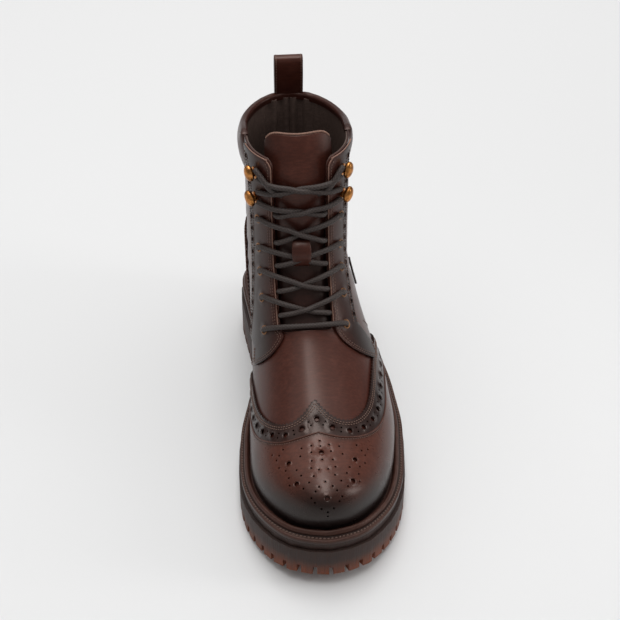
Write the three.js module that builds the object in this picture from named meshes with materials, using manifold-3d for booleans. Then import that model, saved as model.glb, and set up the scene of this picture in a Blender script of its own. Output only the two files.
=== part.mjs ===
// A left ankle boot: a laced derby boot with a wing cap, a padded collar and a cleated rubber sole.
// Millimetres, +Z up. The toe points along -Y and the outer (lateral) side of the foot is +X.
// The origin lies on the floor under the middle of the heel.
// "Along" is measured from the back of the heel towards the toe, "lift" out of a surface.

import * as THREE from 'three';
import { mergeVertices } from 'three/addons/utils/BufferGeometryUtils.js';
import Module from 'manifold-3d';

const wasm = await Module();
wasm.setup();

// Driving dimensions of the last and the upper

const lastLength = 289; // heel to toe along the feather line, where the upper meets the sole
const ballWidth = 102; // widest part of the foot
const instepHeight = 79.5; // instep over the feather line, at the foot of the throat
const shaftHeight = 160; // collar over the heel seat
const shaftWidth = 74; // across the ankle
const forefootHeight = 32; // feather line over the floor at the ball
const heelLift = 13; // heel seat over the ball
const toeLift = 11; // feather line at the toe over the ball
const heelCentre = 34; // from the back of the heel to the origin
const fit = 0.3; // clearance between neighbouring pieces
const wall = 2.2; // thickness of the upper with its lining
const overlay = 1.5; // thickness of a leather overlay
const collarPadding = 1.4; // how far the padded collar stands out

// Driving dimensions of the throat and its closure

const throatHalfWidth = 19.5;
const facingHalfWidth = 33.5; // out to the rear edge of a facing
const eyeletHalfSpacing = 28.4;
const hookHalfSpacing = 29.6;
const eyeletHole = 4.4;
const eyeletBarrel = 5.6;
const eyeletFlange = 9;
const hookWidth = 7.5;
const hookReach = 4; // half length of the foot of a hook
const hookRise = 6.8;
const hookMetal = 1.2;
const laceDiameter = 3.8;
const tongueThickness = 3.6;
const tongueHalfWidth = 30;
const tongueSlack = 1.6; // room between the facings and the tongue
const tongueLean = 13; // how far the top of the tongue falls back
const keeperWidth = 13;
const keeperLength = 18;
const keeperThickness = 1.5;
const tabWidth = 14;
const tabHeight = 20;
const loopWidth = 21;
const loopHeight = 33; // over the collar
const loopThickness = 2;
const loopTail = 13; // how far each leg reaches below the collar

// Driving dimensions of the sole

const insoleThickness = 5;
const weltThickness = 3.7;
const weltWidth = 8; // out from the upper, along the sides
const beadGap = 1.6; // between the upper and the bead
const beadWidth = 3.8; // raised storm bead beside the upper
const beadHeight = 3.2;
const midsoleThickness = 7.7;
const midsoleInset = 0.9; // step of the midsole under the edge of the welt
const outsoleFlare = 1.3; // how far the cleats stand out from the welt
const heelLength = 80; // from the back of the last to the breast of the heel
const archHeight = 12; // under the waist of the sole
const cleatDepth = 7;
const cleatPitch = 11;
const cleatGap = 3;
const cleatLength = 13; // from the edge of the sole inwards
const channelWidth = 4;
const barPitch = 15;

// Colours and roughness

const finishes = {
  leather: [0x4a211b, 0.35],
  burnished: [0x251311, 0.3],
  lining: [0x3d322f, 0.6],
  welt: [0x3b2420, 0.55],
  rubber: [0x3a2119, 0.6],
  gum: [0x8a4322, 0.5],
  lace: [0x3a3331, 0.8],
  brass: [0x8a5a2c, 0.4],
};

// Tables: named columns and a row for each section, with a smooth curve through each column

function table(columns, rows) {
  const names = columns.split(' ');
  return rows.map((row) => Object.fromEntries(names.map((name, i) => [name, row[i]])));
}

function splineThrough(xs, ys) {
  const last = xs.length - 1;
  const bends = new Array(last + 1).fill(0);
  const ratios = new Array(last + 1).fill(0);
  for (let i = 1; i < last; i++) {
    const before = xs[i] - xs[i - 1];
    const after = xs[i + 1] - xs[i];
    const turn = (ys[i + 1] - ys[i]) / after - (ys[i] - ys[i - 1]) / before;
    const weight = 2 * (before + after) - before * ratios[i - 1];
    ratios[i] = after / weight;
    bends[i] = (6 * turn - before * bends[i - 1]) / weight;
  }
  for (let i = last - 1; i > 0; i--) bends[i] -= ratios[i] * bends[i + 1];
  return (x) => {
    const inside = Math.min(Math.max(x, xs[0]), xs[last]);
    let i = 0;
    while (i < last - 1 && inside > xs[i + 1]) i++;
    const width = xs[i + 1] - xs[i];
    const high = (inside - xs[i]) / width;
    const low = 1 - high;
    const curve = (low ** 3 - low) * bends[i] + (high ** 3 - high) * bends[i + 1];
    const slopes = (3 * high ** 2 - 1) * bends[i + 1] - (3 * low ** 2 - 1) * bends[i];
    const slope = (ys[i + 1] - ys[i]) / width + (width * slopes) / 6;
    return low * ys[i] + high * ys[i + 1] + (width ** 2 * curve) / 6 + slope * (x - inside);
  };
}

function splines(rows, key) {
  const xs = rows.map((row, i) => (key ? row[key] : i));
  const curves = {};
  for (const name of Object.keys(rows[0])) curves[name] = splineThrough(xs, rows.map((row) => row[name]));
  return curves;
}

// Feather line: shares of lastLength along, of heelLift and of toeLift

const feather = splines(table('along heel toe', [
  [-0.04, 1.0, 0],
  [0.1, 0.98, 0],
  [0.25, 0.76, 0],
  [0.38, 0.36, 0],
  [0.52, 0.06, 0],
  [0.63, 0, 0],
  [0.74, 0, 0.02],
  [0.87, 0, 0.38],
  [1.0, 0, 1.0],
  [1.05, 0, 1.28],
]), 'along');

function featherAt(along) {
  const share = along / lastLength;
  return forefootHeight + heelLift * feather.heel(share) + toeLift * feather.toe(share);
}

const heelSeat = forefootHeight + heelLift;

// Back of the boot: shares of shaftHeight over the heel seat and of lastLength along.
// round is the depth over which the back rounds off in plan, in shares of lastLength.

const back = splines(table('rise along round', [
  [-0.1, 0.004, 0.121],
  [0.0, 0.0, 0.121],
  [0.12, -0.009, 0.125],
  [0.25, -0.004, 0.131],
  [0.4, 0.013, 0.138],
  [0.58, 0.028, 0.152],
  [0.76, 0.031, 0.166],
  [0.98, 0.024, 0.176],
  [1.25, 0.014, 0.183],
]), 'rise');

const backAt = (height) => lastLength * back.along((height - heelSeat) / shaftHeight);
const backRoundAt = (height) => lastLength * back.round((height - heelSeat) / shaftHeight);

// Sections of the last, fanned out from the toe to the top of the shaft. Each is a slice from its ridge,
// on the front of the boot, to its base, on the feather line or the back.
// ridge, base: along, in shares of lastLength.
// top, shaft: height of the ridge over the feather line, in shares of instepHeight and of shaftHeight.
// climb: height of the base over the feather line, in shares of shaftHeight.
// centre: sideways place of the ridge, in shares of ballWidth.

const profile = splines(table('ridge top shaft base climb centre', [
  [1.0, 0, 0, 1.0, 0, 0.02],
  [1.006, 0.126, 0, 0.985, 0, 0.02],
  [1.006, 0.226, 0, 0.955, 0, 0.02],
  [0.995, 0.327, 0, 0.91, 0, 0.019],
  [0.965, 0.415, 0, 0.85, 0, 0.017],
  [0.913, 0.478, 0, 0.78, 0, 0.013],
  [0.84, 0.56, 0, 0.71, 0, 0.006],
  [0.76, 0.667, 0, 0.63, 0, -0.002],
  [0.68, 0.775, 0, 0.55, 0, -0.008],
  [0.611, 0.893, 0, 0.46, 0, -0.013],
  [0.566, 1.0, 0.004, 0.36, 0, -0.02],
  [0.524, 1.0, 0.097, 0.25, 0, -0.025],
  [0.49, 1.0, 0.19, 0.14, 0, -0.029],
  [0.469, 1.0, 0.267, 0.055, 0.012, -0.031],
  [0.457, 1.0, 0.331, 0.01, 0.068, -0.03],
  [0.45, 1.0, 0.394, 0.0, 0.168, -0.03],
  [0.445, 1.0, 0.458, 0.005, 0.316, -0.03],
  [0.441, 1.0, 0.522, 0.02, 0.515, -0.03],
  [0.438, 1.0, 0.581, 0.03, 0.714, -0.03],
  [0.434, 1.0, 0.65, 0.028, 0.913, -0.03],
  [0.428, 1.0, 0.729, 0.022, 1.1, -0.03],
  [0.42, 1.0, 0.808, 0.016, 1.26, -0.03],
]));

// Widths of the same sections. medial, lateral: half widths, in shares of ballWidth, or of shaftWidth
// as far as ankle says. peak: share of the slice at which each side is widest. tuck: share of the width
// that is left at the base. crown: how blunt the ridge is.

const breadth = splines(table('medial lateral ankle medialPeak lateralPeak medialTuck lateralTuck crown', [
  [0, 0, 0, 1.15, 1.15, 1.0, 1.0, 1.0],
  [0.174, 0.176, 0, 1.15, 1.15, 1.0, 1.0, 1.0],
  [0.29, 0.295, 0, 1.15, 1.15, 1.0, 1.0, 1.05],
  [0.369, 0.387, 0, 1.1, 1.1, 1.0, 1.0, 1.25],
  [0.426, 0.452, 0, 1.02, 1.02, 1.0, 1.0, 1.6],
  [0.454, 0.504, 0, 0.94, 0.94, 0.99, 0.99, 1.85],
  [0.448, 0.542, 0, 0.87, 0.87, 0.98, 0.98, 1.95],
  [0.43, 0.572, 0, 0.82, 0.84, 0.96, 0.98, 2.0],
  [0.41, 0.57, 0, 0.78, 0.84, 0.87, 0.975, 2.05],
  [0.394, 0.558, 0, 0.72, 0.84, 0.76, 0.96, 2.15],
  [0.408, 0.556, 0.25, 0.65, 0.78, 0.68, 0.92, 2.2],
  [0.43, 0.532, 0.5, 0.57, 0.68, 0.76, 0.89, 2.3],
  [0.458, 0.522, 0.75, 0.5, 0.57, 0.88, 0.86, 2.4],
  [0.498, 0.53, 1, 0.46, 0.5, 0.92, 0.88, 2.45],
  [0.498, 0.526, 1, 0.44, 0.46, 0.94, 0.92, 2.5],
  [0.498, 0.524, 1, 0.42, 0.43, 0.96, 0.95, 2.5],
  [0.498, 0.524, 1, 0.42, 0.42, 0.97, 0.97, 2.5],
  [0.498, 0.524, 1, 0.42, 0.42, 0.98, 0.98, 2.5],
  [0.499, 0.524, 1, 0.42, 0.42, 0.98, 0.98, 2.5],
  [0.5, 0.524, 1, 0.42, 0.42, 0.98, 0.98, 2.5],
  [0.502, 0.524, 1, 0.42, 0.42, 0.98, 0.98, 2.5],
  [0.503, 0.524, 1, 0.42, 0.42, 0.98, 0.98, 2.5],
]));

const lastStation = 21; // the number of the last section
const backRoundness = 2.2; // exponent of the rounding of the back, 2 for an ellipse

function slice(station) {
  const ridge = lastLength * profile.ridge(station);
  const base = lastLength * profile.base(station);
  const top = instepHeight * profile.top(station) + shaftHeight * profile.shaft(station);
  return {
    ridge,
    base,
    ridgeHeight: featherAt(ridge) + top,
    baseHeight: featherAt(base) + shaftHeight * profile.climb(station),
    centre: ballWidth * profile.centre(station),
  };
}

// How far the slice runs before it leaves the boot through the feather line or the back

function sliceEnd(cut) {
  const room = (share) => {
    const along = cut.ridge + share * (cut.base - cut.ridge);
    const height = cut.ridgeHeight + share * (cut.baseHeight - cut.ridgeHeight);
    return Math.min(height - featherAt(along), along - backAt(height));
  };
  let inside = 0.5;
  let outside = 1.5;
  for (let i = 0; i < 30; i++) {
    const middle = (inside + outside) / 2;
    if (room(middle) > 0) inside = middle;
    else outside = middle;
  }
  return inside;
}

function halfWidthAt(station, side, share) {
  const widest = breadth[side < 0 ? 'medial' : 'lateral'](station);
  const peak = breadth[side < 0 ? 'medialPeak' : 'lateralPeak'](station);
  const tuck = breadth[side < 0 ? 'medialTuck' : 'lateralTuck'](station);
  const ankle = breadth.ankle(station);
  const unit = ballWidth * (1 - ankle) + shaftWidth * ankle;
  const below = Math.max(0, share - peak) / Math.max(0.05, 1 - peak);
  const above = Math.max(0, 1 - share / peak);
  const swell = Math.sqrt(Math.max(0, 1 - above ** breadth.crown(station)));
  return unit * widest * swell * (1 - (1 - tuck) * below ** 2);
}

// A point of the boot's skin. around runs from -1, the medial base, over 0, the ridge, to 1, the lateral
// base.

const sliceCache = new Map();

function skinPoint(station, around) {
  if (!sliceCache.has(station)) {
    const cut = slice(station);
    sliceCache.set(station, { ...cut, end: station > 0 ? sliceEnd(cut) : 1 });
  }
  const cut = sliceCache.get(station);
  const share = (cut.end * (1 - Math.cos(Math.PI * around))) / 2;
  const along = cut.ridge + share * (cut.base - cut.ridge);
  const height = cut.ridgeHeight + share * (cut.baseHeight - cut.ridgeHeight);
  const side = around < 0 ? -1 : 1;
  const fromBack = Math.max(0, along - backAt(height)) / backRoundAt(height);
  const rounding = fromBack < 1 ? Math.sqrt(1 - (1 - fromBack) ** backRoundness) : 1;
  const x = cut.centre + side * halfWidthAt(station, side, share) * rounding;
  return new THREE.Vector3(x, heelCentre - along, height);
}

function skinNormal(station, around) {
  if (station < 1e-6) return new THREE.Vector3(0, -1, 0);
  const step = 1e-3;
  const low = Math.max(step / 10, station - step);
  const high = Math.min(lastStation, station + step);
  const left = Math.max(-1, around - step);
  const right = Math.min(1, around + step);
  const backwards = skinPoint(high, around).sub(skinPoint(low, around));
  const sideways = skinPoint(station, right).sub(skinPoint(station, left));
  return sideways.cross(backwards).normalize();
}

// The station at which the slice ends in the corner between the heel seat and the back

function findHeelStation() {
  let low = 11;
  let high = 16;
  for (let i = 0; i < 40; i++) {
    const middle = (low + high) / 2;
    const end = skinPoint(middle, 1);
    const along = heelCentre - end.y;
    if (end.z - featherAt(along) < along - backAt(end.z)) low = middle;
    else high = middle;
  }
  return low;
}

const heelStation = findHeelStation();

// A point at a lift from the skin. Both sides meet on the back of the shaft.

function liftedPoint(station, around, lift) {
  const point = skinPoint(station, around).addScaledVector(skinNormal(station, around), lift);
  if (Math.abs(around) === 1 && station >= heelStation) point.x = slice(station).centre;
  return point;
}

// Meshes and solids

class MeshMaker {
  constructor() {
    this.positions = [];
    this.faces = [];
  }

  add(point) {
    this.positions.push(point.x, point.y, point.z);
    return this.positions.length / 3 - 1;
  }

  quad(a, b, c, d) {
    this.faces.push(a, b, c, a, c, d);
  }

  geometry() {
    const geometry = new THREE.BufferGeometry();
    geometry.setAttribute('position', new THREE.Float32BufferAttribute(this.positions, 3));
    geometry.setIndex(this.faces);
    return geometry;
  }
}

const mergeTolerance = 1e-3;
const surfaceTolerance = 0.06; // how far a flat stretch may leave the exact surface

function solidFrom(geometry) {
  const bare = geometry.clone();
  bare.deleteAttribute('normal');
  bare.deleteAttribute('uv');
  const merged = mergeVertices(bare, mergeTolerance);
  const index = merged.index.array;
  const triangles = [];
  for (let i = 0; i < index.length; i += 3) {
    const [a, b, c] = [index[i], index[i + 1], index[i + 2]];
    if (a !== b && b !== c && c !== a) triangles.push(a, b, c);
  }
  return new wasm.Manifold(new wasm.Mesh({
    numProp: 3,
    vertProperties: new Float32Array(merged.attributes.position.array),
    triVerts: new Uint32Array(triangles),
  }));
}

function geometryFrom(solid) {
  const mesh = solid.getMesh();
  const positions = new Float32Array(mesh.vertProperties);
  const geometry = new THREE.BufferGeometry();
  geometry.setAttribute('position', new THREE.BufferAttribute(positions, 3));
  geometry.setIndex(Array.from(mesh.triVerts));
  geometry.computeVertexNormals();
  return geometry;
}

// An outline drawn in a side view (y, z) or a top view (x, y), pushed out to a slab

function slab(points, view, from, to) {
  const shape = new THREE.Shape(points.map(([u, v]) => new THREE.Vector2(u, v)));
  const geometry = new THREE.ExtrudeGeometry(shape, { depth: to - from, bevelEnabled: false });
  const turn = new THREE.Matrix4();
  if (view === 'side') turn.set(0, 0, 1, from, 1, 0, 0, 0, 0, 1, 0, 0, 0, 0, 0, 1);
  if (view === 'top') turn.makeTranslation(0, 0, from);
  return solidFrom(geometry.applyMatrix4(turn));
}

const steps = (count, make) => Array.from({ length: count + 1 }, (_, i) => make(i / count, i));

// The form of the last at a lift from the skin, closed below with a straight skirt and at its top.
// The lift is a length or follows the stations.

const toeStations = [0, 0.4, 1, 1.8, 2.6, 3.3];
const footStations = steps(9, (share) => 4 + share * (heelStation - 4));
const shaftFoot = 14.4;
const shaftStations = steps(5, (share) => shaftFoot + share * (lastStation - shaftFoot));
const formStations = [...toeStations, ...footStations, ...shaftStations];
const formAround = steps(16, (share) => 2 * share - 1);
const skirtDrop = 14;

function form(liftOrCurve) {
  const liftFor = typeof liftOrCurve === 'function' ? liftOrCurve : () => liftOrCurve;
  const maker = new MeshMaker();
  const last = formAround.length - 1;
  const rings = formStations.map((station) => {
    const lift = liftFor(station);
    if (station === 0) return new Array(last + 1).fill(maker.add(liftedPoint(0, 0, lift)));
    const ring = formAround.slice(0, last).map((around) => maker.add(liftedPoint(station, around, lift)));
    return [...ring, station < heelStation ? maker.add(liftedPoint(station, 1, lift)) : ring[0]];
  });
  const dropped = (station, around) => {
    const edge = liftedPoint(station, station === 0 ? 0 : around, liftFor(station));
    return maker.add(edge.setZ(featherAt(heelCentre - edge.y) - skirtDrop));
  };
  const skirts = formStations.filter((station) => station <= heelStation).map((station) => {
    const medial = dropped(station, -1);
    return [medial, station > 0 && station < heelStation ? dropped(station, 1) : medial];
  });
  for (let i = 0; i + 1 < rings.length; i++) {
    for (let j = 0; j < last; j++) maker.quad(rings[i][j], rings[i][j + 1], rings[i + 1][j + 1], rings[i + 1][j]);
  }
  for (let i = 0; i + 1 < skirts.length; i++) {
    const [medial, lateral] = skirts[i];
    const [nextMedial, nextLateral] = skirts[i + 1];
    maker.quad(rings[i][last], lateral, nextLateral, rings[i + 1][last]);
    maker.quad(rings[i][0], rings[i + 1][0], nextMedial, medial);
    maker.quad(medial, nextMedial, nextLateral, lateral);
  }
  const top = rings[rings.length - 1];
  for (let j = 0; j < last / 2; j++) maker.quad(top[j], top[j + 1], top[last - j - 1], top[last - j]);
  return solidFrom(maker.geometry());
}

// Side outlines that trim the upper: under the feather line, and over the top line of the collar

const topLine = splines(table('along rise', [
  [-0.1, 0.978],
  [0.024, 0.981],
  [0.14, 0.992],
  [0.25, 1.05],
  [0.33, 1.075],
  [0.41, 1.085],
  [0.55, 1.09],
]), 'along');

const topAt = (along) => heelSeat + shaftHeight * topLine.rise(along / lastLength);
const sideMargin = 16; // cutting outlines reach this far past the boot
const sideFrom = -sideMargin;
const sideTo = lastLength + sideMargin;
const halfSlab = ballWidth;

// A side outline between two heights that follow the length of the boot

function sideBand(low, high, from = sideFrom, to = sideTo, count = 26) {
  const lower = steps(count, (share) => from + share * (to - from)).map((a) => [heelCentre - a, low(a)]);
  const upper = steps(count, (share) => to + share * (from - to)).map((a) => [heelCentre - a, high(a)]);
  return slab([...lower, ...upper].reverse(), 'side', -halfSlab, halfSlab);
}

const above = (height) => height + 2 * shaftHeight;
const upperBand = sideBand(featherAt, (along) => (along < 0.6 * lastLength ? topAt(along) : above(0)));

// The upper: one wall, open at the collar, the throat and underneath

const wallLift = -(overlay + fit);
const wallForm = form(wallLift);
const insideForm = form(wallLift - wall);
const overlayBaseForm = form(-overlay);
const skinForm = form(0);

// The angle around a section at a sideways distance from its ridge

function aroundAt(station, side, halfWidth) {
  let low = 0;
  let high = 0.5;
  const centre = slice(station).centre;
  for (let i = 0; i < 30; i++) {
    const middle = (low + high) / 2;
    if (Math.abs(skinPoint(station, side * middle).x - centre) < halfWidth) low = middle;
    else high = middle;
  }
  return side * low;
}

function onFront(side, halfWidth, station, lift) {
  const around = aroundAt(station, side, halfWidth);
  return { point: liftedPoint(station, around, lift), normal: skinNormal(station, around) };
}

// Sections of the foot of the throat and of the lace rows: five eyelets, then two hooks

const throatFootStation = 9.75;
const throatCornerStations = 0.35; // how far its foot curves up at the corners
const eyeletStations = [10.07, 11.17, 12.19, 13.44, 15.37];
const hookStations = [16.72, 18.29];
const sides = { medial: -1, lateral: 1 };

function turned(geometry, { point, normal }) {
  const turn = new THREE.Quaternion().setFromUnitVectors(new THREE.Vector3(0, 1, 0), normal);
  return geometry.applyMatrix4(new THREE.Matrix4().compose(point, turn, new THREE.Vector3(1, 1, 1)));
}

const holeSides = 8;
const holeReach = 7; // the cutting cylinder reaches this far to either side of the facing

function eyeletHoles(side) {
  const radius = eyeletBarrel / 2 + fit;
  return eyeletStations.map((station) => {
    const place = onFront(side, eyeletHalfSpacing, station, 0);
    return solidFrom(turned(new THREE.CylinderGeometry(radius, radius, 2 * holeReach, holeSides), place));
  });
}

const holes = { medial: eyeletHoles(-1), lateral: eyeletHoles(1) };
const cutHoles = (solid, cuts) => cuts.reduce((left, cut) => left.subtract(cut), solid);

// A cutting block over a stretch of the skin. place gives the station and the angle around the last of
// each point, across the stretch and from its front to its back.

const blockReach = 7;

function skinBlock(place, rows, columns, reach = blockReach) {
  const maker = new MeshMaker();
  const layer = (lift) => {
    const pole = place(0, 0)[0] === 0 ? maker.add(liftedPoint(0, 0, lift)) : null;
    return steps(columns, (across) => steps(rows, (share, k) => {
      if (k === 0 && pole !== null) return pole;
      const [station, around] = place(across, share);
      return maker.add(liftedPoint(station, around, lift));
    }));
  };
  const outer = layer(reach);
  const inner = layer(-reach);
  for (let i = 0; i < columns; i++) {
    for (let k = 0; k < rows; k++) {
      maker.quad(outer[i][k], outer[i + 1][k], outer[i + 1][k + 1], outer[i][k + 1]);
      maker.quad(inner[i][k], inner[i][k + 1], inner[i + 1][k + 1], inner[i + 1][k]);
    }
    maker.quad(outer[i][0], inner[i][0], inner[i + 1][0], outer[i + 1][0]);
    maker.quad(outer[i][rows], outer[i + 1][rows], inner[i + 1][rows], inner[i][rows]);
  }
  for (let k = 0; k < rows; k++) {
    maker.quad(outer[0][k], outer[0][k + 1], inner[0][k + 1], inner[0][k]);
    maker.quad(outer[columns][k], inner[columns][k], inner[columns][k + 1], outer[columns][k + 1]);
  }
  return solidFrom(maker.geometry());
}

function throatBlock() {
  const place = (across, share) => {
    const out = 2 * across - 1;
    const foot = throatFootStation + throatCornerStations * out ** 8;
    const station = foot + share * (lastStation - foot);
    return [station, aroundAt(station, Math.sign(out) || 1, Math.abs(out) * throatHalfWidth)];
  };
  return skinBlock(place, 12, 8);
}

function makeUpper() {
  const shell = wallForm.subtract(insideForm).intersect(upperBand).subtract(throatBlock());
  return cutHoles(shell, [...holes.medial, ...holes.lateral]);
}

const overlayShell = skinForm.subtract(overlayBaseForm).intersect(upperBand);

// Wing cap. Its edge is given by the ridge place, in shares of lastLength, of the slice that it crosses.

const wingEdge = splines(table('around ridge', [
  [0, 0.737],
  [0.1, 0.785],
  [0.22, 0.828],
  [0.34, 0.79],
  [0.44, 0.712],
  [0.54, 0.635],
  [0.7, 0.6],
  [1, 0.578],
]), 'around');

function stationOfRidge(share) {
  let low = 4;
  let high = 13;
  for (let i = 0; i < 30; i++) {
    const middle = (low + high) / 2;
    if (profile.ridge(middle) > share) low = middle;
    else high = middle;
  }
  return low;
}

function makeWingCap() {
  const place = (across, share) => {
    const around = 2 * across - 1;
    return [share * stationOfRidge(wingEdge.ridge(Math.abs(around))), around];
  };
  return overlayShell.intersect(skinBlock(place, 8, 24));
}

// Facings, from the edge of the throat to behind the eyelets

const facingFrontStation = 9.95; // of the front edge, at the throat
const facingRearStation = 8.95; // and at its rear corner
const facingTopStation = 20;
const facingFrontHalfWidth = 0.372 * ballWidth;

function makeFacing(side) {
  const throatEdge = throatHalfWidth + fit;
  const place = (across, share) => {
    const outwards = side > 0 ? across : 1 - across;
    const front = facingFrontStation + outwards * (facingRearStation - facingFrontStation);
    const station = front + share * (facingTopStation - front);
    const spread = Math.max(0, 1 - 2.2 * share) ** 1.5;
    const rear = facingHalfWidth + spread * (facingFrontHalfWidth - facingHalfWidth);
    return [station, aroundAt(station, side, throatEdge + outwards * (rear - throatEdge))];
  };
  const strip = overlayShell.intersect(skinBlock(place, 10, 2));
  return cutHoles(strip, holes[side < 0 ? 'medial' : 'lateral']);
}

// Heel counter and padded collar, cut from shells of the form by side outlines

function sideShape(rows) {
  const curve = new THREE.SplineCurve(rows.map(([a, rise]) =>
    new THREE.Vector2(heelCentre - a * lastLength, heelSeat + rise * shaftHeight)));
  return curve.getPoints(3 * (rows.length - 1)).map((point) => [point.x, point.y]);
}

function makeHeelCounter() {
  const edge = sideShape([
    [0.33, -0.12],
    [0.315, 0.05],
    [0.26, 0.2],
    [0.165, 0.33],
    [0.06, 0.42],
    [-0.06, 0.46],
  ]);
  const below = [[heelCentre + sideMargin, heelSeat - 0.12 * shaftHeight]];
  const outline = slab([...edge, ...below].reverse(), 'side', -halfSlab, halfSlab);
  return overlayShell.intersect(outline);
}

const collarFrontShare = 0.262; // of lastLength
const collarDropShare = 0.17; // of shaftHeight

function makeCollar() {
  const lower = sideShape([
    [collarFrontShare, 1.04],
    [collarFrontShare + 0.012, 0.93],
    [0.2, 0.985 - collarDropShare],
    [0.09, 0.965 - collarDropShare],
    [-0.06, 0.96 - collarDropShare],
  ]);
  const upper = [[heelCentre + sideMargin, above(heelSeat)], [lower[0][0], above(heelSeat)]];
  const outline = slab([...lower, ...upper].reverse(), 'side', -halfSlab, halfSlab);
  return form(collarPadding).subtract(overlayBaseForm).intersect(outline.intersect(upperBand));
}

// Tongue: close under the vamp at its foot, clear of the facings above, and leaning back at its top

const smooth = (from, to, x) => {
  const share = Math.min(1, Math.max(0, (x - from) / (to - from)));
  return share * share * (3 - 2 * share);
};
const tongueFootStation = 9.2;
const tongueFreeStation = 10.7; // from here it has its full slack
const tongueLeanStation = 17; // from here it falls back
const tongueTopStation = 20.3;

function tongueLift(station) {
  const rise = smooth(tongueFootStation + 0.4, tongueFreeStation, station);
  const slack = fit + (tongueSlack - fit) * rise;
  const lean = Math.max(0, station - tongueLeanStation) / (tongueTopStation - tongueLeanStation);
  return wallLift - wall - slack - tongueLean * lean ** 1.7;
}

function makeTongue() {
  const place = (across, share) => {
    const out = 2 * across - 1;
    const top = tongueTopStation - 0.55 * out ** 6;
    const station = tongueFootStation + share * (top - tongueFootStation);
    return [station, aroundAt(station, Math.sign(out) || 1, Math.abs(out) * tongueHalfWidth)];
  };
  const shell = form(tongueLift).subtract(form((station) => tongueLift(station) - tongueThickness));
  return shell.intersect(skinBlock(place, 12, 6, 4 * blockReach));
}

// Lace: a bar between the lowest eyelets, then a crossing between each pair of rows

const laceStations = [...eyeletStations, ...hookStations];
const laceRadius = laceDiameter / 2;
const laceOnFacing = laceRadius + fit;
const laceOnTongue = (station) => tongueLift(station) + laceRadius + 1.5 * fit;
const laceSides = 5;
const laceSteps = 8; // along a strand

function laceTube(points) {
  const outline = steps(laceSides - 1, (_, i) => {
    const angle = (2 * Math.PI * i) / laceSides;
    return new THREE.Vector2(laceRadius * Math.cos(angle), laceRadius * Math.sin(angle));
  });
  const path = new THREE.CatmullRomCurve3(points);
  const options = { extrudePath: path, steps: laceSteps, bevelEnabled: false };
  return solidFrom(new THREE.ExtrudeGeometry(new THREE.Shape(outline), options));
}

function lacePoint(side, halfWidth, station, onTongue) {
  const around = aroundAt(station, side, halfWidth);
  return liftedPoint(station, around, laceOnFacing + onTongue * (laceOnTongue(station) - laceOnFacing));
}

const besideEyelet = eyeletHalfSpacing - eyeletFlange / 2 - fit;
const besideHook = hookHalfSpacing - hookReach - 2 * fit;
const underEdge = throatHalfWidth - laceRadius - 2 * fit;

// One strand, from beside an eyelet or hook, over the edge of its facing and across the tongue.
// A place on it: side and share of its half width, share of the way, and how far down on the tongue.

function strand(side, start, end, dip) {
  const station = (share) => start.station + share * (end.station - start.station);
  const edge = throatHalfWidth;
  const points = [
    lacePoint(side, start.out, station(0), 0),
    lacePoint(side, edge + 1, station(0.1), 0),
    lacePoint(side, 0.6 * edge, station(0.3), 0.8 * dip),
    lacePoint(side, 0, station(0.5), dip),
  ];
  if (end.out > edge) {
    points.push(lacePoint(-side, 0.6 * edge, station(0.7), 0.8 * dip));
    points.push(lacePoint(-side, edge + 1, station(0.9), 0));
    points.push(lacePoint(-side, end.out, station(1), 0));
  } else {
    points.push(lacePoint(-side, 0.45 * edge, station(0.75), dip));
    points.push(lacePoint(-side, end.out, station(1), 0.85 * dip));
  }
  return laceTube(points);
}

function makeLaceBar() {
  const ends = { out: besideEyelet, station: laceStations[0] };
  return strand(-1, ends, ends, 0.15);
}

function makeLaceCrossing(row) {
  const hooked = row >= eyeletStations.length;
  const start = { out: hooked ? besideHook : besideEyelet, station: laceStations[row] };
  const lower = Math.max(laceStations[row - 1] + 0.1, throatFootStation + 0.7);
  const end = { out: underEdge, station: lower };
  if (row > eyeletStations.length) Object.assign(end, { out: besideHook, station: laceStations[row - 1] + 0.3 });
  return strand(-1, start, end, 1).add(strand(1, start, end, 1));
}

// Lace keeper: a leather bridge on the tongue, over the crossing of the third and fourth rows

const keeperRise = laceDiameter + 4 * fit;

function makeKeeper() {
  const station = (laceStations[2] + laceStations[3]) / 2 + 0.05;
  const seat = liftedPoint(station, 0, tongueLift(station) + 2.5 * fit);
  const half = keeperLength / 2;
  const arch = (length, rise) => [[-length, 0], [-0.8 * length, 0.72 * rise], [-0.45 * length, rise]];
  const outer = arch(half, keeperRise + keeperThickness);
  const inner = arch(half - keeperThickness, keeperRise);
  const both = (side) => [...side, ...side.map(([u, v]) => [-u, v]).reverse()];
  const outline = [...both(outer), ...both(inner).reverse()];
  const shape = new THREE.Shape(outline.map(([u, v]) => new THREE.Vector2(u, v)));
  const geometry = new THREE.ExtrudeGeometry(shape, { depth: keeperWidth, bevelEnabled: false });
  geometry.translate(0, 0, -keeperWidth / 2);
  const outwards = skinNormal(station, 0).setX(0).normalize();
  const across = new THREE.Vector3(1, 0, 0);
  const upwards = new THREE.Vector3().crossVectors(outwards, across);
  const turn = new THREE.Matrix4().makeBasis(upwards, outwards, across).setPosition(seat);
  return solidFrom(geometry.applyMatrix4(turn));
}

// Eyelets and speed hooks

const eyeletSeat = 2.5 * fit; // the facing curves up to the rim of the flange

function makeEyelet(side, station) {
  const barrel = eyeletBarrel / 2;
  const hole = eyeletHole / 2;
  const flange = eyeletFlange / 2;
  const inside = wallLift - wall + fit;
  const section = [
    [hole, inside],
    [barrel, inside],
    [barrel, eyeletSeat],
    [flange, eyeletSeat],
    [flange - 0.8, eyeletSeat + 0.9],
    [hole, eyeletSeat + 0.9],
    [hole, inside],
  ].map(([radius, lift]) => new THREE.Vector2(radius, lift));
  return solidFrom(turned(new THREE.LatheGeometry(section, holeSides), onFront(side, eyeletHalfSpacing, station, 0)));
}

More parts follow.
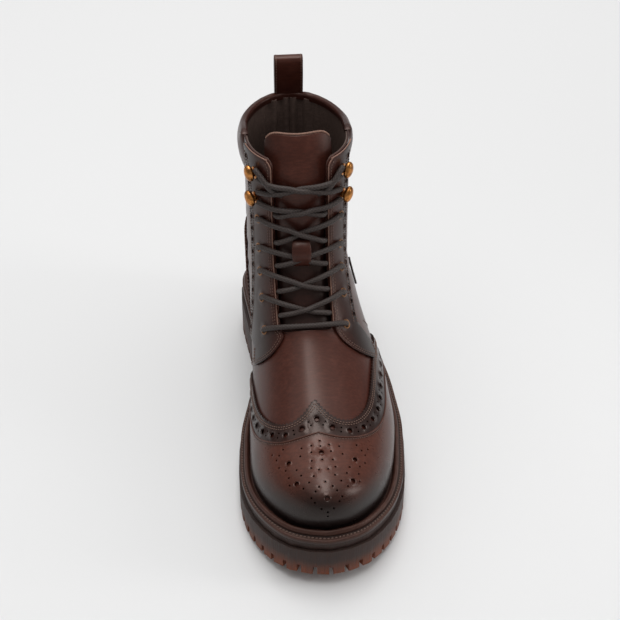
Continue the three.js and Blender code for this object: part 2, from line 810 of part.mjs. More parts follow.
function makeHook(side, station) {
  const { point, normal } = onFront(side, hookHalfSpacing, station, 0);
  const [foot, lip] = [fit + 0.3, hookRise - hookMetal];
  const outline = [
    [-hookReach, foot], [hookReach, foot], [hookReach, foot + hookMetal], [-hookReach + 1.4, foot + hookMetal],
    [-hookReach + 1.4, lip], [hookReach + 0.6, lip], [hookReach, hookRise], [-hookReach, hookRise],
  ];
  const shape = new THREE.Shape(outline.map(([u, v]) => new THREE.Vector2(u, v)));
  const geometry = new THREE.ExtrudeGeometry(shape, { depth: hookWidth, bevelEnabled: false });
  geometry.translate(0, 0, -hookWidth / 2);
  const up = new THREE.Vector3(0, 0, 1);
  const along = up.clone().addScaledVector(normal, -up.dot(normal)).normalize();
  const outwards = new THREE.Vector3().crossVectors(normal, along);
  if (outwards.x * side < 0) {
    outwards.negate();
    along.negate();
  }
  return solidFrom(geometry.applyMatrix4(new THREE.Matrix4().makeBasis(outwards, normal, along).setPosition(point)));
}

// Pull loop over the back of the collar, and the small tab in the lateral quarter

function makePullLoop() {
  const collarTop = topAt(0);
  const low = collarTop - loopTail;
  const round = 1 - (loopWidth / (shaftWidth + 2 * wallLift - 2 * wall)) ** 2;
  const bulge = backRoundAt(collarTop) * (1 - round ** (1 / backRoundness));
  const outerFace = Math.min(backAt(low), backAt(collarTop)) - collarPadding - 2 * fit - loopThickness;
  const insideFace = Math.max(backAt(low), backAt(collarTop)) - wallLift + wall;
  const innerFace = insideFace + bulge + 2 * fit + loopThickness;
  const middle = (outerFace + innerFace) / 2;
  const radius = (innerFace - outerFace) / 2;
  const high = collarTop + loopHeight - radius;
  const bow = (size) => [
    [heelCentre - middle + size, low],
    ...steps(10, (share) => {
      const angle = Math.PI * share;
      return [heelCentre - middle + size * Math.cos(angle), high + size * Math.sin(angle)];
    }),
    [heelCentre - middle - size, low],
  ];
  const outline = [...bow(radius), ...bow(radius - loopThickness).reverse()];
  const centre = slice(lastStation).centre;
  return slab(outline, 'side', centre - loopWidth / 2, centre + loopWidth / 2);
}

const tabSeat = { station: 12.3, around: 0.47 };
const tabThickness = 1.2;

function makeSideTab() {
  const seat = liftedPoint(tabSeat.station, tabSeat.around, wallLift + 2 * fit);
  const normal = skinNormal(tabSeat.station, tabSeat.around);
  const up = new THREE.Vector3(0, 0, 1);
  up.addScaledVector(normal, -up.dot(normal)).normalize();
  const backwards = new THREE.Vector3().crossVectors(up, normal);
  if (backwards.y < 0) backwards.negate();
  const outwards = normal.clone().multiplyScalar(0.75).addScaledVector(backwards, 0.66).normalize();
  const thick = new THREE.Vector3().crossVectors(outwards, up);
  const geometry = new THREE.BoxGeometry(0.5 * tabWidth, tabHeight, tabThickness);
  geometry.translate(0.25 * tabWidth + 0.5, 0, 0);
  return solidFrom(geometry.applyMatrix4(new THREE.Matrix4().makeBasis(outwards, up, thick).setPosition(seat)));
}

// Outline of the sole: the feather line of the skin, set out by the width of the welt.
// medial, lateral: width of the welt in shares of weltWidth.

const margins = splines(table('along medial lateral', [
  [0, 0.8, 0.8],
  [0.15, 0.8, 0.8],
  [0.4, 0.9, 0.95],
  [0.65, 0.95, 1.02],
  [0.8, 0.95, 1.08],
  [0.93, 1.03, 1.05],
  [1.0, 1.22, 1.22],
]), 'along');

function featherLoop(count) {
  const dense = [];
  const fine = 90;
  const stations = steps(fine, (share) => heelStation * 0.5 * (1 + Math.cos(Math.PI * share)));
  for (const station of stations) dense.push(station > 0 ? liftedPoint(station, -1, 0) : skinPoint(0, 0));
  for (const station of stations.slice(1, -1).reverse()) dense.push(liftedPoint(station, 1, 0));
  const flat = dense.map((point) => new THREE.Vector3(point.x, point.y, 0));
  const path = new THREE.CatmullRomCurve3(flat, true);
  path.arcLengthDivisions = 720;
  return steps(count - 1, (_, i) => {
    const place = path.getPointAt(i / count);
    const tangent = path.getPointAt((i / count + 0.004) % 1).sub(path.getPointAt((i / count + 0.996) % 1));
    const out = new THREE.Vector2(tangent.y, -tangent.x).normalize();
    const along = heelCentre - place.y;
    const side = place.x < slice(0).centre ? 'medial' : 'lateral';
    return { x: place.x, y: place.y, out, along, margin: weltWidth * margins[side](along / lastLength) };
  });
}

const loopCount = 60;
const soleLoop = featherLoop(loopCount);
const setOut = (place, distance) => [place.x + distance * place.out.x, place.y + distance * place.out.y];
const loopSlab = (distance) => {
  const points = soleLoop.map((place) => setOut(place, distance(place)));
  const area = points.reduce((sum, [x, y], i) => {
    const [nextX, nextY] = points[(i + 1) % points.length];
    return sum + x * nextY - nextX * y;
  }, 0);
  return slab(area > 0 ? points : points.reverse(), 'top', -toeLift, 2 * forefootHeight + heelLift);
};

const weltTop = (along) => featherAt(along) - fit;
const midsoleTop = (along) => weltTop(along) - weltThickness - fit;
const outsoleTop = (along) => midsoleTop(along) - midsoleThickness - fit;

// Welt: a ring with a raised bead beside the upper, a groove and a flat edge.
// out: from the skin of the upper, rise: over the top of the welt.

function makeWelt() {
  const bead = beadGap;
  const inner = wallLift - 0.2 * wall;
  const section = (edge) => [
    [inner, 0],
    [bead, 0],
    [bead, 0.6 * beadHeight],
    [bead + 0.45 * beadWidth, beadHeight],
    [bead + 0.85 * beadWidth, 0.7 * beadHeight],
    [bead + beadWidth, 0],
    [edge - 0.5, 0],
    [edge, -0.8],
    [edge, -weltThickness],
    [inner, -weltThickness],
  ];
  const maker = new MeshMaker();
  const rings = soleLoop.map((place) => section(place.margin).map(([out, rise]) => {
    const [x, y] = setOut(place, out);
    return maker.add(new THREE.Vector3(x, y, weltTop(heelCentre - y) + rise));
  }));
  const size = rings[0].length;
  rings.forEach((ring, i) => {
    const next = rings[(i + 1) % rings.length];
    for (let j = 0; j < size; j++) {
      const k = (j + 1) % size;
      maker.quad(ring[j], ring[k], next[k], next[j]);
    }
  });
  return solidFrom(maker.geometry());
}

function makeInsole() {
  const low = (along) => midsoleTop(along) + fit;
  const high = (along) => low(along) + insoleThickness;
  return form(wallLift - wall - fit).intersect(sideBand(low, high));
}

function makeMidsole() {
  const low = (along) => midsoleTop(along) - midsoleThickness;
  return loopSlab((place) => place.margin - midsoleInset).intersect(sideBand(low, midsoleTop));
}

// Outsole: heel, waist and forefoot in one, cut into cleats

const soleEnd = 1.043 * lastLength;
const forefootStart = 0.5 * lastLength;
const springStart = 0.8 * lastLength;
const springPower = 1.6;
const heelBevel = 12;
const cutterHeight = 60;

// Underside of the waist, from the forefoot back to the breast of the heel
const waistShape = table('share rise', [
  [0, 0],
  [0.08, 0.3],
  [0.34, 0.72],
  [0.65, 1.0],
  [0.907, 1.1],
  [0.977, 1.0],
  [1, 0],
]);

function treadAt(along) {
  if (along > springStart) return toeLift * ((along - springStart) / (soleEnd - springStart)) ** springPower;
  return along < heelBevel ? 0.02 * (heelBevel - along) ** 1.8 : 0;
}

function soleSide() {
  const spring = steps(8, (share) => sideTo + share * (springStart - sideTo)).map((a) => [a, treadAt(a)]);
  const waistLength = forefootStart - heelLength;
  const waist = waistShape.map(({ share, rise }) => [forefootStart - share * waistLength, rise * archHeight]);
  const heel = steps(4, (share) => heelBevel + share * (sideFrom - heelBevel)).map((a) => [a, treadAt(a)]);
  return [...spring, ...waist, ...heel];
}

const groundMargin = 10; // the cut starts this far under the ground

function cleatZone(from, to) {
  return sideBand(() => -groundMargin, (along) => treadAt(along) + cleatDepth, from, to, 12);
}

function edgeNotches() {
  const edge = soleLoop.map((place) => {
    const [x, y] = setOut(place, place.margin + outsoleFlare);
    return new THREE.Vector3(x, y, 0);
  });
  const path = new THREE.CatmullRomCurve3(edge, true);
  const count = Math.round(path.getLength() / cleatPitch);
  const cuts = steps(count - 1, (_, i) => {
    const place = path.getPointAt(i / count);
    const tangent = path.getTangentAt(i / count);
    const geometry = new THREE.BoxGeometry(cleatGap, 2 * cleatLength + channelWidth, cutterHeight);
    geometry.rotateZ(Math.atan2(tangent.y, tangent.x));
    return solidFrom(geometry.translate(place.x, place.y, 0));
  });
  return cuts.reduce((all, cut) => all.add(cut));
}

function makeOutsole() {
  const top = steps(26, (share) => sideFrom + share * (sideTo - sideFrom)).map((a) => [a, outsoleTop(a)]);
  const side = [...top, ...soleSide()].map(([a, z]) => [heelCentre - a, z]);
  const body = loopSlab((place) => place.margin + outsoleFlare).intersect(slab(side, 'side', -halfSlab, halfSlab));
  const inset = (depth) => loopSlab((place) => place.margin + outsoleFlare - depth);
  const heart = inset(cleatLength + channelWidth);
  const channel = inset(cleatLength).subtract(heart);
  const barCount = Math.floor(soleEnd / barPitch);
  const bars = steps(barCount, (_, i) => {
    const geometry = new THREE.BoxGeometry(2 * ballWidth, cleatGap, cutterHeight);
    return solidFrom(geometry.translate(0, heelCentre - (i + 0.5) * barPitch, 0));
  }).reduce((all, bar) => all.add(bar));
  const grooves = bars.intersect(inset(cleatLength + channelWidth / 2));
  const pattern = edgeNotches().add(channel).add(grooves);
  const zones = cleatZone(sideFrom, heelLength + 1).add(cleatZone(forefootStart - 1, sideTo));
  return body.subtract(pattern.intersect(zones));
}

// The boot

const boot = new THREE.Group();
boot.name = 'ankle_boot';

function place(name, solid, finish, metalness = 0) {
  const [color, roughness] = finishes[finish];
  const material = new THREE.MeshStandardMaterial({ color, roughness, metalness });
  material.name = finish;
  const mesh = new THREE.Mesh(geometryFrom(solid.simplify(surfaceTolerance)), material);
  mesh.name = name;
  boot.add(mesh);
}

place('outsole', makeOutsole(), 'gum');
place('midsole', makeMidsole(), 'rubber');
place('welt', makeWelt(), 'welt');
place('insole', makeInsole(), 'lining');
place('upper', makeUpper(), 'leather');
place('wing_cap', makeWingCap(), 'burnished');
place('heel_counter', makeHeelCounter(), 'leather');
place('collar', makeCollar(), 'leather');
place('tongue', makeTongue(), 'leather');
place('lace_keeper', makeKeeper(), 'leather');
place('pull_loop', makePullLoop(), 'leather');
place('side_tab', makeSideTab(), 'burnished');
for (const [name, side] of Object.entries(sides)) {
  place(`facing_${name}`, makeFacing(side), 'leather');
  eyeletStations.forEach((at, i) => place(`eyelet_${name}_${i + 1}`, makeEyelet(side, at), 'brass', 0.9));
  hookStations.forEach((at, i) => place(`hook_${name}_${i + 6}`, makeHook(side, at), 'brass', 0.9));
}
place('lace_bar_1', makeLaceBar(), 'lace');
for (let row = 1; row < laceStations.length; row++) place(`lace_cross_${row + 1}`, makeLaceCrossing(row), 'lace');

export default boot;
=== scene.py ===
# %% [markdown]
# # A laced ankle boot
# The boot is a derby with a pinked wing cap, eyelets and speed hooks, a padded collar and a cleated
# rubber sole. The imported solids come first, because they fix every place and size. Each real piece is
# then made again on the surface of the last, with its thickness, edges, stitches and holes, and the plain
# solid behind it is hidden.

# %% The solids that fix the sizes
import math

import bmesh
import bpy
import numpy as np
from mathutils import Matrix, Vector
from mathutils.geometry import delaunay_2d_cdt

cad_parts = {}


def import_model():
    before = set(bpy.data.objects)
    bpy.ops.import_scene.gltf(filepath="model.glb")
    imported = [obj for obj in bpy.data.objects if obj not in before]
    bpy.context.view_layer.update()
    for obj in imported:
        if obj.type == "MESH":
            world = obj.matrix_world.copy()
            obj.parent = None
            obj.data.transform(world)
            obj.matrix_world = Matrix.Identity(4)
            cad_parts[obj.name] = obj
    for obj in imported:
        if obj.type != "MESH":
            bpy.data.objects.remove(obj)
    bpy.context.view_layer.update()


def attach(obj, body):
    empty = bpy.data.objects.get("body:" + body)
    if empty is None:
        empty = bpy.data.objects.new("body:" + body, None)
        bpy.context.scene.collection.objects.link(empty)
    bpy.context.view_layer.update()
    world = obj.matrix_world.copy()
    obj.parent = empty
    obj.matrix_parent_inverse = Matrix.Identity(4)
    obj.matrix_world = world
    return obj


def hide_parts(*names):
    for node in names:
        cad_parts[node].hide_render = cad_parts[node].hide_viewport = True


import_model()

# %% [markdown]
# ## The last
# A boot is shaped over a last, so the last comes before any leather. It is described by slices that fan
# out from the toe to the top of the shaft. A few numbers per slice say where its ridge and base lie and
# how wide it is, and a smooth curve runs through each column. A mesh could be sculpted instead, but a
# function lets every panel, stitch and lace ask for its place on the same surface.

# %% Named sizes, in millimetres
LAST_LENGTH, BALL_WIDTH, INSTEP_HEIGHT = 289.0, 102.0, 79.5
SHAFT_HEIGHT, SHAFT_WIDTH = 160.0, 74.0
FOREFOOT_HEIGHT, HEEL_LIFT, TOE_LIFT, HEEL_CENTRE = 32.0, 13.0, 11.0, 34.0
HEEL_SEAT = FOREFOOT_HEIGHT + HEEL_LIFT
TOP_STATION, BACK_ROUNDNESS = 21.0, 2.2
MM = 0.001


def ramp(value, start, width):
    """Rises from 0 at the start to 1 one width further."""
    return np.clip((value - start) / width, 0, 1)


def ease(share):
    """Softens both ends of a rise from 0 to 1."""
    return share * share * (3 - 2 * share)


def unit(vectors):
    return vectors / np.maximum(1e-9, np.linalg.norm(vectors, axis=-1, keepdims=True))


def arrays(*values):
    return np.broadcast_arrays(*(np.asarray(value, float) for value in values))


def run_of(points):
    """The length run along a line, at each of its points."""
    return np.append(0, np.cumsum(np.linalg.norm(np.diff(points, axis=0), axis=1)))


def at_run(points, run, wanted):
    """The places on a line at the wanted lengths."""
    return np.stack([np.interp(wanted, run, column) for column in np.asarray(points, float).T], -1)


def bisect(test, low, high, size, rounds=28):
    """The edge of what test says is still inside, for many places at once."""
    low, high = np.full(size, float(low)), np.full(size, float(high))
    for _ in range(rounds):
        middle = (low + high) / 2
        keep = test(middle)
        low, high = np.where(keep, middle, low), np.where(keep, high, middle)
    return low


def spline(xs, ys):
    """A natural cubic curve through the points, straight beyond both ends."""
    xs, ys = np.asarray(xs, float), np.asarray(ys, float)
    steps, count = np.diff(xs), len(xs)
    matrix, right = np.eye(count), np.zeros(count)
    for i in range(1, count - 1):
        matrix[i, i - 1:i + 2] = steps[i - 1], 2 * (steps[i - 1] + steps[i]), steps[i]
        right[i] = 6 * ((ys[i + 1] - ys[i]) / steps[i] - (ys[i] - ys[i - 1]) / steps[i - 1])
    bends = np.linalg.solve(matrix, right)

    def curve(x):
        x = np.asarray(x, float)
        inside = np.clip(x, xs[0], xs[-1])
        i = np.clip(np.searchsorted(xs, inside, "right") - 1, 0, count - 2)
        width = steps[i]
        high = (inside - xs[i]) / width
        low = 1 - high
        bow = (low**3 - low) * bends[i] + (high**3 - high) * bends[i + 1]
        slope = (ys[i + 1] - ys[i]) / width
        slope = slope + width * ((3 * high**2 - 1) * bends[i + 1] - (3 * low**2 - 1) * bends[i]) / 6
        return low * ys[i] + high * ys[i + 1] + width**2 * bow / 6 + slope * (x - inside)

    return curve


def splines(names, rows, key=None):
    """One curve for each named column, over the row number or over the column called key."""
    columns = dict(zip(names.split(), np.array(rows, float).T))
    xs = columns[key] if key else np.arange(len(rows))
    return {name: spline(xs, values) for name, values in columns.items()}


# %% Feather line, where the upper meets the sole, and the back of the boot
feather = splines("along heel toe", [
    (-0.04, 1, 0), (0.1, 0.98, 0), (0.25, 0.76, 0), (0.38, 0.36, 0), (0.52, 0.06, 0),
    (0.63, 0, 0), (0.74, 0, 0.02), (0.87, 0, 0.38), (1, 0, 1), (1.05, 0, 1.28),
], "along")
back = splines("rise along round", [
    (-0.1, 0.004, 0.121), (0, 0, 0.121), (0.12, -0.009, 0.125), (0.25, -0.004, 0.131),
    (0.4, 0.013, 0.138), (0.58, 0.028, 0.152), (0.76, 0.031, 0.166), (0.98, 0.024, 0.176),
    (1.25, 0.014, 0.183),
], "rise")


def feather_at(along):
    share = along / LAST_LENGTH
    return FOREFOOT_HEIGHT + HEEL_LIFT * feather["heel"](share) + TOE_LIFT * feather["toe"](share)


def back_at(height):
    return LAST_LENGTH * back["along"]((height - HEEL_SEAT) / SHAFT_HEIGHT)


def back_round_at(height):
    return LAST_LENGTH * back["round"]((height - HEEL_SEAT) / SHAFT_HEIGHT)


# %% Slices: ridge and base in shares of the length, heights in shares of instep and shaft
profile = splines("ridge top shaft base climb centre", [
    (1, 0, 0, 1, 0, 0.02), (1.006, 0.126, 0, 0.985, 0, 0.02), (1.006, 0.226, 0, 0.955, 0, 0.02),
    (0.995, 0.327, 0, 0.91, 0, 0.019), (0.965, 0.415, 0, 0.85, 0, 0.017),
    (0.913, 0.478, 0, 0.78, 0, 0.013), (0.84, 0.56, 0, 0.71, 0, 0.006),
    (0.76, 0.667, 0, 0.63, 0, -0.002), (0.68, 0.775, 0, 0.55, 0, -0.008),
    (0.611, 0.893, 0, 0.46, 0, -0.013), (0.566, 1, 0.004, 0.36, 0, -0.02),
    (0.524, 1, 0.097, 0.25, 0, -0.025), (0.49, 1, 0.19, 0.14, 0, -0.029),
    (0.469, 1, 0.267, 0.055, 0.012, -0.031), (0.457, 1, 0.331, 0.01, 0.068, -0.03),
    (0.45, 1, 0.394, 0, 0.168, -0.03), (0.445, 1, 0.458, 0.005, 0.316, -0.03),
    (0.441, 1, 0.522, 0.02, 0.515, -0.03), (0.438, 1, 0.581, 0.03, 0.714, -0.03),
    (0.434, 1, 0.65, 0.028, 0.913, -0.03), (0.428, 1, 0.729, 0.022, 1.1, -0.03),
    (0.42, 1, 0.808, 0.016, 1.26, -0.03),
])
breadth = splines("medial lateral ankle medial_peak lateral_peak medial_tuck lateral_tuck crown", [
    (0, 0, 0, 1.15, 1.15, 1, 1, 1), (0.174, 0.176, 0, 1.15, 1.15, 1, 1, 1),
    (0.29, 0.295, 0, 1.15, 1.15, 1, 1, 1.05), (0.369, 0.387, 0, 1.1, 1.1, 1, 1, 1.25),
    (0.426, 0.452, 0, 1.02, 1.02, 1, 1, 1.6), (0.454, 0.504, 0, 0.94, 0.94, 0.99, 0.99, 1.85),
    (0.448, 0.542, 0, 0.87, 0.87, 0.98, 0.98, 1.95), (0.43, 0.572, 0, 0.82, 0.84, 0.96, 0.98, 2),
    (0.41, 0.57, 0, 0.78, 0.84, 0.87, 0.975, 2.05), (0.394, 0.558, 0, 0.72, 0.84, 0.76, 0.96, 2.15),
    (0.408, 0.556, 0.25, 0.65, 0.78, 0.68, 0.92, 2.2), (0.43, 0.532, 0.5, 0.57, 0.68, 0.76, 0.89, 2.3),
    (0.458, 0.522, 0.75, 0.5, 0.57, 0.88, 0.86, 2.4), (0.498, 0.53, 1, 0.46, 0.5, 0.92, 0.88, 2.45),
    (0.498, 0.526, 1, 0.44, 0.46, 0.94, 0.92, 2.5), (0.498, 0.524, 1, 0.42, 0.43, 0.96, 0.95, 2.5),
    (0.498, 0.524, 1, 0.42, 0.42, 0.97, 0.97, 2.5), (0.498, 0.524, 1, 0.42, 0.42, 0.98, 0.98, 2.5),
    (0.499, 0.524, 1, 0.42, 0.42, 0.98, 0.98, 2.5), (0.5, 0.524, 1, 0.42, 0.42, 0.98, 0.98, 2.5),
    (0.502, 0.524, 1, 0.42, 0.42, 0.98, 0.98, 2.5), (0.503, 0.524, 1, 0.42, 0.42, 0.98, 0.98, 2.5),
])


def slice_of(station):
    ridge, base = LAST_LENGTH * profile["ridge"](station), LAST_LENGTH * profile["base"](station)
    top = INSTEP_HEIGHT * profile["top"](station) + SHAFT_HEIGHT * profile["shaft"](station)
    foot = feather_at(base) + SHAFT_HEIGHT * profile["climb"](station)
    return ridge, base, feather_at(ridge) + top, foot


def room_inside(station, share):
    """How far a place on a slice is above the feather line and in front of the back."""
    ridge, base, high, low = slice_of(station)
    along, height = ridge + share * (base - ridge), high + share * (low - high)
    return np.minimum(height - feather_at(along), along - back_at(height))


end_stations = np.arange(0.01, TOP_STATION + 0.5, 0.01)
end_shares = bisect(lambda share: room_inside(end_stations, share) > 0, 0.5, 1.5, len(end_stations), 30)
end_stations, end_shares = np.append(0, end_stations), np.append(1, end_shares)
print(f"slices end between {end_shares.min():.2f} and {end_shares.max():.2f} of their way to the base")

# %% The surface: a station from toe to collar, and an angle around from medial base to lateral base


def skin_point(station, around):
    station, around = arrays(station, around)
    ridge, base, high, low = slice_of(station)
    share = np.interp(station, end_stations, end_shares) * (1 - np.cos(math.pi * around)) / 2
    along, height = ridge + share * (base - ridge), high + share * (low - high)
    medial = around < 0
    widest, peak, tuck = (
        np.where(medial, breadth["medial" + part](station), breadth["lateral" + part](station))
        for part in ("", "_peak", "_tuck"))
    ankle = breadth["ankle"](station)
    broadest = BALL_WIDTH * (1 - ankle) + SHAFT_WIDTH * ankle
    below = np.maximum(0, share - peak) / np.maximum(0.05, 1 - peak)
    above = np.maximum(0, 1 - share / peak)
    swell = np.sqrt(np.maximum(0, 1 - above ** breadth["crown"](station)))
    inwards = np.clip(1 - np.maximum(0, along - back_at(height)) / back_round_at(height), 0, 1)
    rounding = np.sqrt(np.maximum(0, 1 - inwards**BACK_ROUNDNESS))
    half = broadest * widest * swell * (1 - (1 - tuck) * below**2) * rounding
    x = BALL_WIDTH * profile["centre"](station) + np.where(medial, -half, half)
    return np.stack([x, HEEL_CENTRE - along, height], -1)


def skin_slopes(station, around):
    step = 1e-3
    low, high = np.maximum(1e-4, station - step), np.minimum(TOP_STATION + 0.4, station + step)
    left, right = np.maximum(-1, around - step), np.minimum(1, around + step)
    backwards = (skin_point(high, around) - skin_point(low, around)) / (high - low)[..., None]
    sideways = (skin_point(station, right) - skin_point(station, left)) / (right - left)[..., None]
    return backwards, sideways


def skin_normal(station, around):
    backwards, sideways = skin_slopes(station, around)
    normal = np.cross(sideways, backwards)
    normal[station < 1e-3] = (0, -1, 0)
    return unit(normal)


def below_back(station):
    end = skin_point(station, 1)
    along = HEEL_CENTRE - end[:, 1]
    return end[:, 2] - feather_at(along) < along - back_at(end[:, 2])


HEEL_STATION = float(bisect(below_back, 11, 16, 1, 40)[0])


def skin(station, around, lift=0.0):
    """Points at a lift from the skin. An angle past 1 turns down under the feather line."""
    station, around, lift = arrays(station, around, lift)
    inside = np.clip(around, -1, 1)
    point = skin_point(station, inside) + skin_normal(station, inside) * lift[..., None]
    seam = (np.abs(around) >= 1) & (station >= HEEL_STATION)
    point[..., 0] = np.where(seam, BALL_WIDTH * profile["centre"](station), point[..., 0])
    point[..., 2] -= np.where(seam, 0, 60 * np.maximum(0, np.abs(around) - 1))
    return point


def around_at(station, side, half_width):
    """The angle at which a slice has a given sideways distance from its ridge."""
    station, side, half_width = arrays(np.atleast_1d(station), side, half_width)
    centre = BALL_WIDTH * profile["centre"](station)
    inside = lambda a: np.abs(skin_point(station, side * a)[..., 0] - centre) < half_width
    return side * bisect(inside, 0, 0.5, station.shape)


def shift_on_skin(places, sideways, backwards):
    """Moves places on the skin by millimetres, along the slice and across it."""
    along, across = skin_slopes(*places.T)
    direction = unit(across)
    lean = (along * direction).sum(-1)
    steep = np.linalg.norm(along - lean[:, None] * direction, axis=-1)
    stations = backwards / np.maximum(steep, 1)
    angles = (sideways - stations * lean) / np.maximum(np.linalg.norm(across, axis=-1), 8)
    return np.stack([places[:, 0] + stations, np.clip(places[:, 1] + angles, -1.08, 1.08)], -1)


print(f"the heel seat meets the back at station {HEEL_STATION:.2f}")

# %% [markdown]
# ## Ways to make leather pieces
# Leather is cut flat, punched, stitched and pulled over the last. A plain stretch can be a grid whose
# corners are moved onto the surface. A panel with a pinked edge and holes is better cut as a pattern: its
# outline and holes are laid out in station and angle, filled with triangles, and then lasted.

# %% Pieces and their meshes


def add_piece(name, mesh, material, stands_for=()):
    piece = bpy.data.objects.new(name, mesh)
    bpy.context.scene.collection.objects.link(piece)
    mesh.materials.clear()
    mesh.materials.append(material)
    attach(piece, "root")
    if stands_for:
        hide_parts(*stands_for)
    return piece


def finish_mesh(mesh, thickness=0.0, bevel=0.0, sharp=38.0, offset=-1.0, smooth_levels=0):
    """Gives a sheet its thickness and rounded edges, and returns the finished mesh."""
    work = bpy.data.objects.new("work", mesh)
    bpy.context.scene.collection.objects.link(work)
    if thickness:
        solidify = work.modifiers.new("thickness", "SOLIDIFY")
        solidify.thickness, solidify.offset = thickness * MM, offset
        solidify.use_even_offset, solidify.thickness_clamp = False, 0
    if bevel:
        rounding = work.modifiers.new("rounded edges", "BEVEL")
        rounding.width, rounding.segments, rounding.limit_method = bevel * MM, 2, "ANGLE"
        rounding.angle_limit, rounding.use_clamp_overlap = math.radians(50), True
    if smooth_levels:
        smooth = work.modifiers.new("smooth", "SUBSURF")
        smooth.levels = smooth.render_levels = smooth_levels
    bpy.context.view_layer.update()
    evaluated = work.evaluated_get(bpy.context.evaluated_depsgraph_get())
    done = bpy.data.meshes.new_from_object(evaluated)
    bpy.data.objects.remove(work)
    done.polygons.foreach_set("use_smooth", [True] * len(done.polygons))
    done.set_sharp_from_angle(angle=math.radians(sharp))
    return done


def set_places(mesh, points):
    mesh.vertices.foreach_set("co", (points * MM).astype(np.float32).ravel())
    mesh.update()


def get_places(mesh):
    flat = np.empty(len(mesh.vertices) * 3, np.float32)
    mesh.vertices.foreach_get("co", flat)
    return flat.reshape(-1, 3)


def give_attribute(mesh, name, values):
    layer = mesh.attributes.new(name, "FLOAT", "POINT")
    layer.data.foreach_set("value", np.broadcast_to(np.asarray(values, np.float32), (len(mesh.vertices),)))


def grid_mesh(name, columns, rows, place, flip=False, burnish_and_shade=None):
    """A grid whose corners are moved by place(across, along), both from 0 to 1."""
    bm = bmesh.new()
    uv_layer = bm.loops.layers.uv.new("UVMap")
    bmesh.ops.create_grid(bm, x_segments=columns, y_segments=rows, size=0.5)
    for face in bm.faces:
        for loop in face.loops:
            loop[uv_layer].uv = (loop.vert.co.x + 0.5, loop.vert.co.y + 0.5)
    mesh = bpy.data.meshes.new(name)
    bm.to_mesh(mesh)
    bm.free()
    across, along, _ = get_places(mesh).astype(float).T + 0.5
    set_places(mesh, place(across, along))
    if burnish_and_shade:
        give_attribute(mesh, "burnish_and_shade", burnish_and_shade(across, along))
    bm = bmesh.new()
    bm.from_mesh(mesh)
    bmesh.ops.remove_doubles(bm, verts=bm.verts, dist=2e-6)
    if flip:
        bmesh.ops.reverse_faces(bm, faces=bm.faces)
    bm.to_mesh(mesh)
    bm.free()
    return mesh


def join_halves(name, columns, rows, place, outwards=True, burnish_and_shade=None):
    """Both halves of a sheet, sewn together where they meet."""
    joined, mesh = bmesh.new(), bpy.data.meshes.new(name)
    for side in (-1, 1):
        half = grid_mesh("half", columns, rows, lambda a, b: place(side, a, b), flip=(side < 0) == outwards,
                         burnish_and_shade=(lambda a, b: burnish_and_shade(side, a, b)) if burnish_and_shade else None)
        joined.from_mesh(half)
    bmesh.ops.remove_doubles(joined, verts=joined.verts, dist=2e-5)
    joined.to_mesh(mesh)
    joined.free()
    return mesh


# %% Lines on the skin


def spread_evenly(path, pitch):
    """The line with its corners at even steps of about the pitch."""
    run = run_of(skin(*path.T))
    return at_run(path, run, np.linspace(0, run[-1], max(2, round(run[-1] / pitch)) + 1))


def beside(path, distance):
    """The line at a distance to the left of a line on the skin, seen from outside."""
    spots = path[:, 0], np.clip(path[:, 1], -1, 1)
    normal = skin_normal(*spots)
    left = unit(np.cross(normal, np.gradient(skin(*path.T), axis=0)))
    backwards, sideways = skin_slopes(*spots)
    sideways = unit(sideways)
    across = np.cross(normal, sideways)
    flow = np.sign((backwards * across).sum(1))
    return shift_on_skin(path, distance * (left * sideways).sum(1), distance * (left * across).sum(1) * flow)


def pinked(path, pitch, depth):
    """Cuts a line into small teeth."""
    line = spread_evenly(path, pitch / 2)
    return beside(line, np.where(np.arange(len(line)) % 2, depth, 0.0))


# %% Panels with holes
PLANE = np.array([15.0, 110.0])  # rough millimetres per station and per unit of angle
RING_BOUNDS = (1.35, 1.75)  # the pressed ring around a large hole, in radii
RING_RELIEF = ((0.4, 1.35, 0.22), (-0.2, 1.0, 0.18), (-0.12, 1.8, 0.18))  # height, radii out, breadth


def within(points, polygon):
    x, y = points[:, 1, None], points[:, 0, None]
    ax, ay = polygon[:, 1], polygon[:, 0]
    bx, by = np.roll(ax, -1), np.roll(ay, -1)
    crosses = (ay > y) != (by > y)
    cut = (bx - ax) * (y - ay) / np.where(by == ay, 1e-12, by - ay) + ax
    return (crosses & (x < cut)).sum(1) % 2 == 1


def nearest(points, others):
    best = np.full(len(points), 1e9)
    for start in range(0, len(others), 400):
        gaps = np.linalg.norm(points[:, None] - others[None, start:start + 400], axis=-1)
        best = np.minimum(best, gaps.min(1))
    return best


def circle_on_skin(centre, radius, count):
    turn = np.linspace(0, 2 * math.pi, count, endpoint=False)
    return shift_on_skin(np.repeat([centre], count, axis=0), radius * np.cos(turn), radius * np.sin(turn))


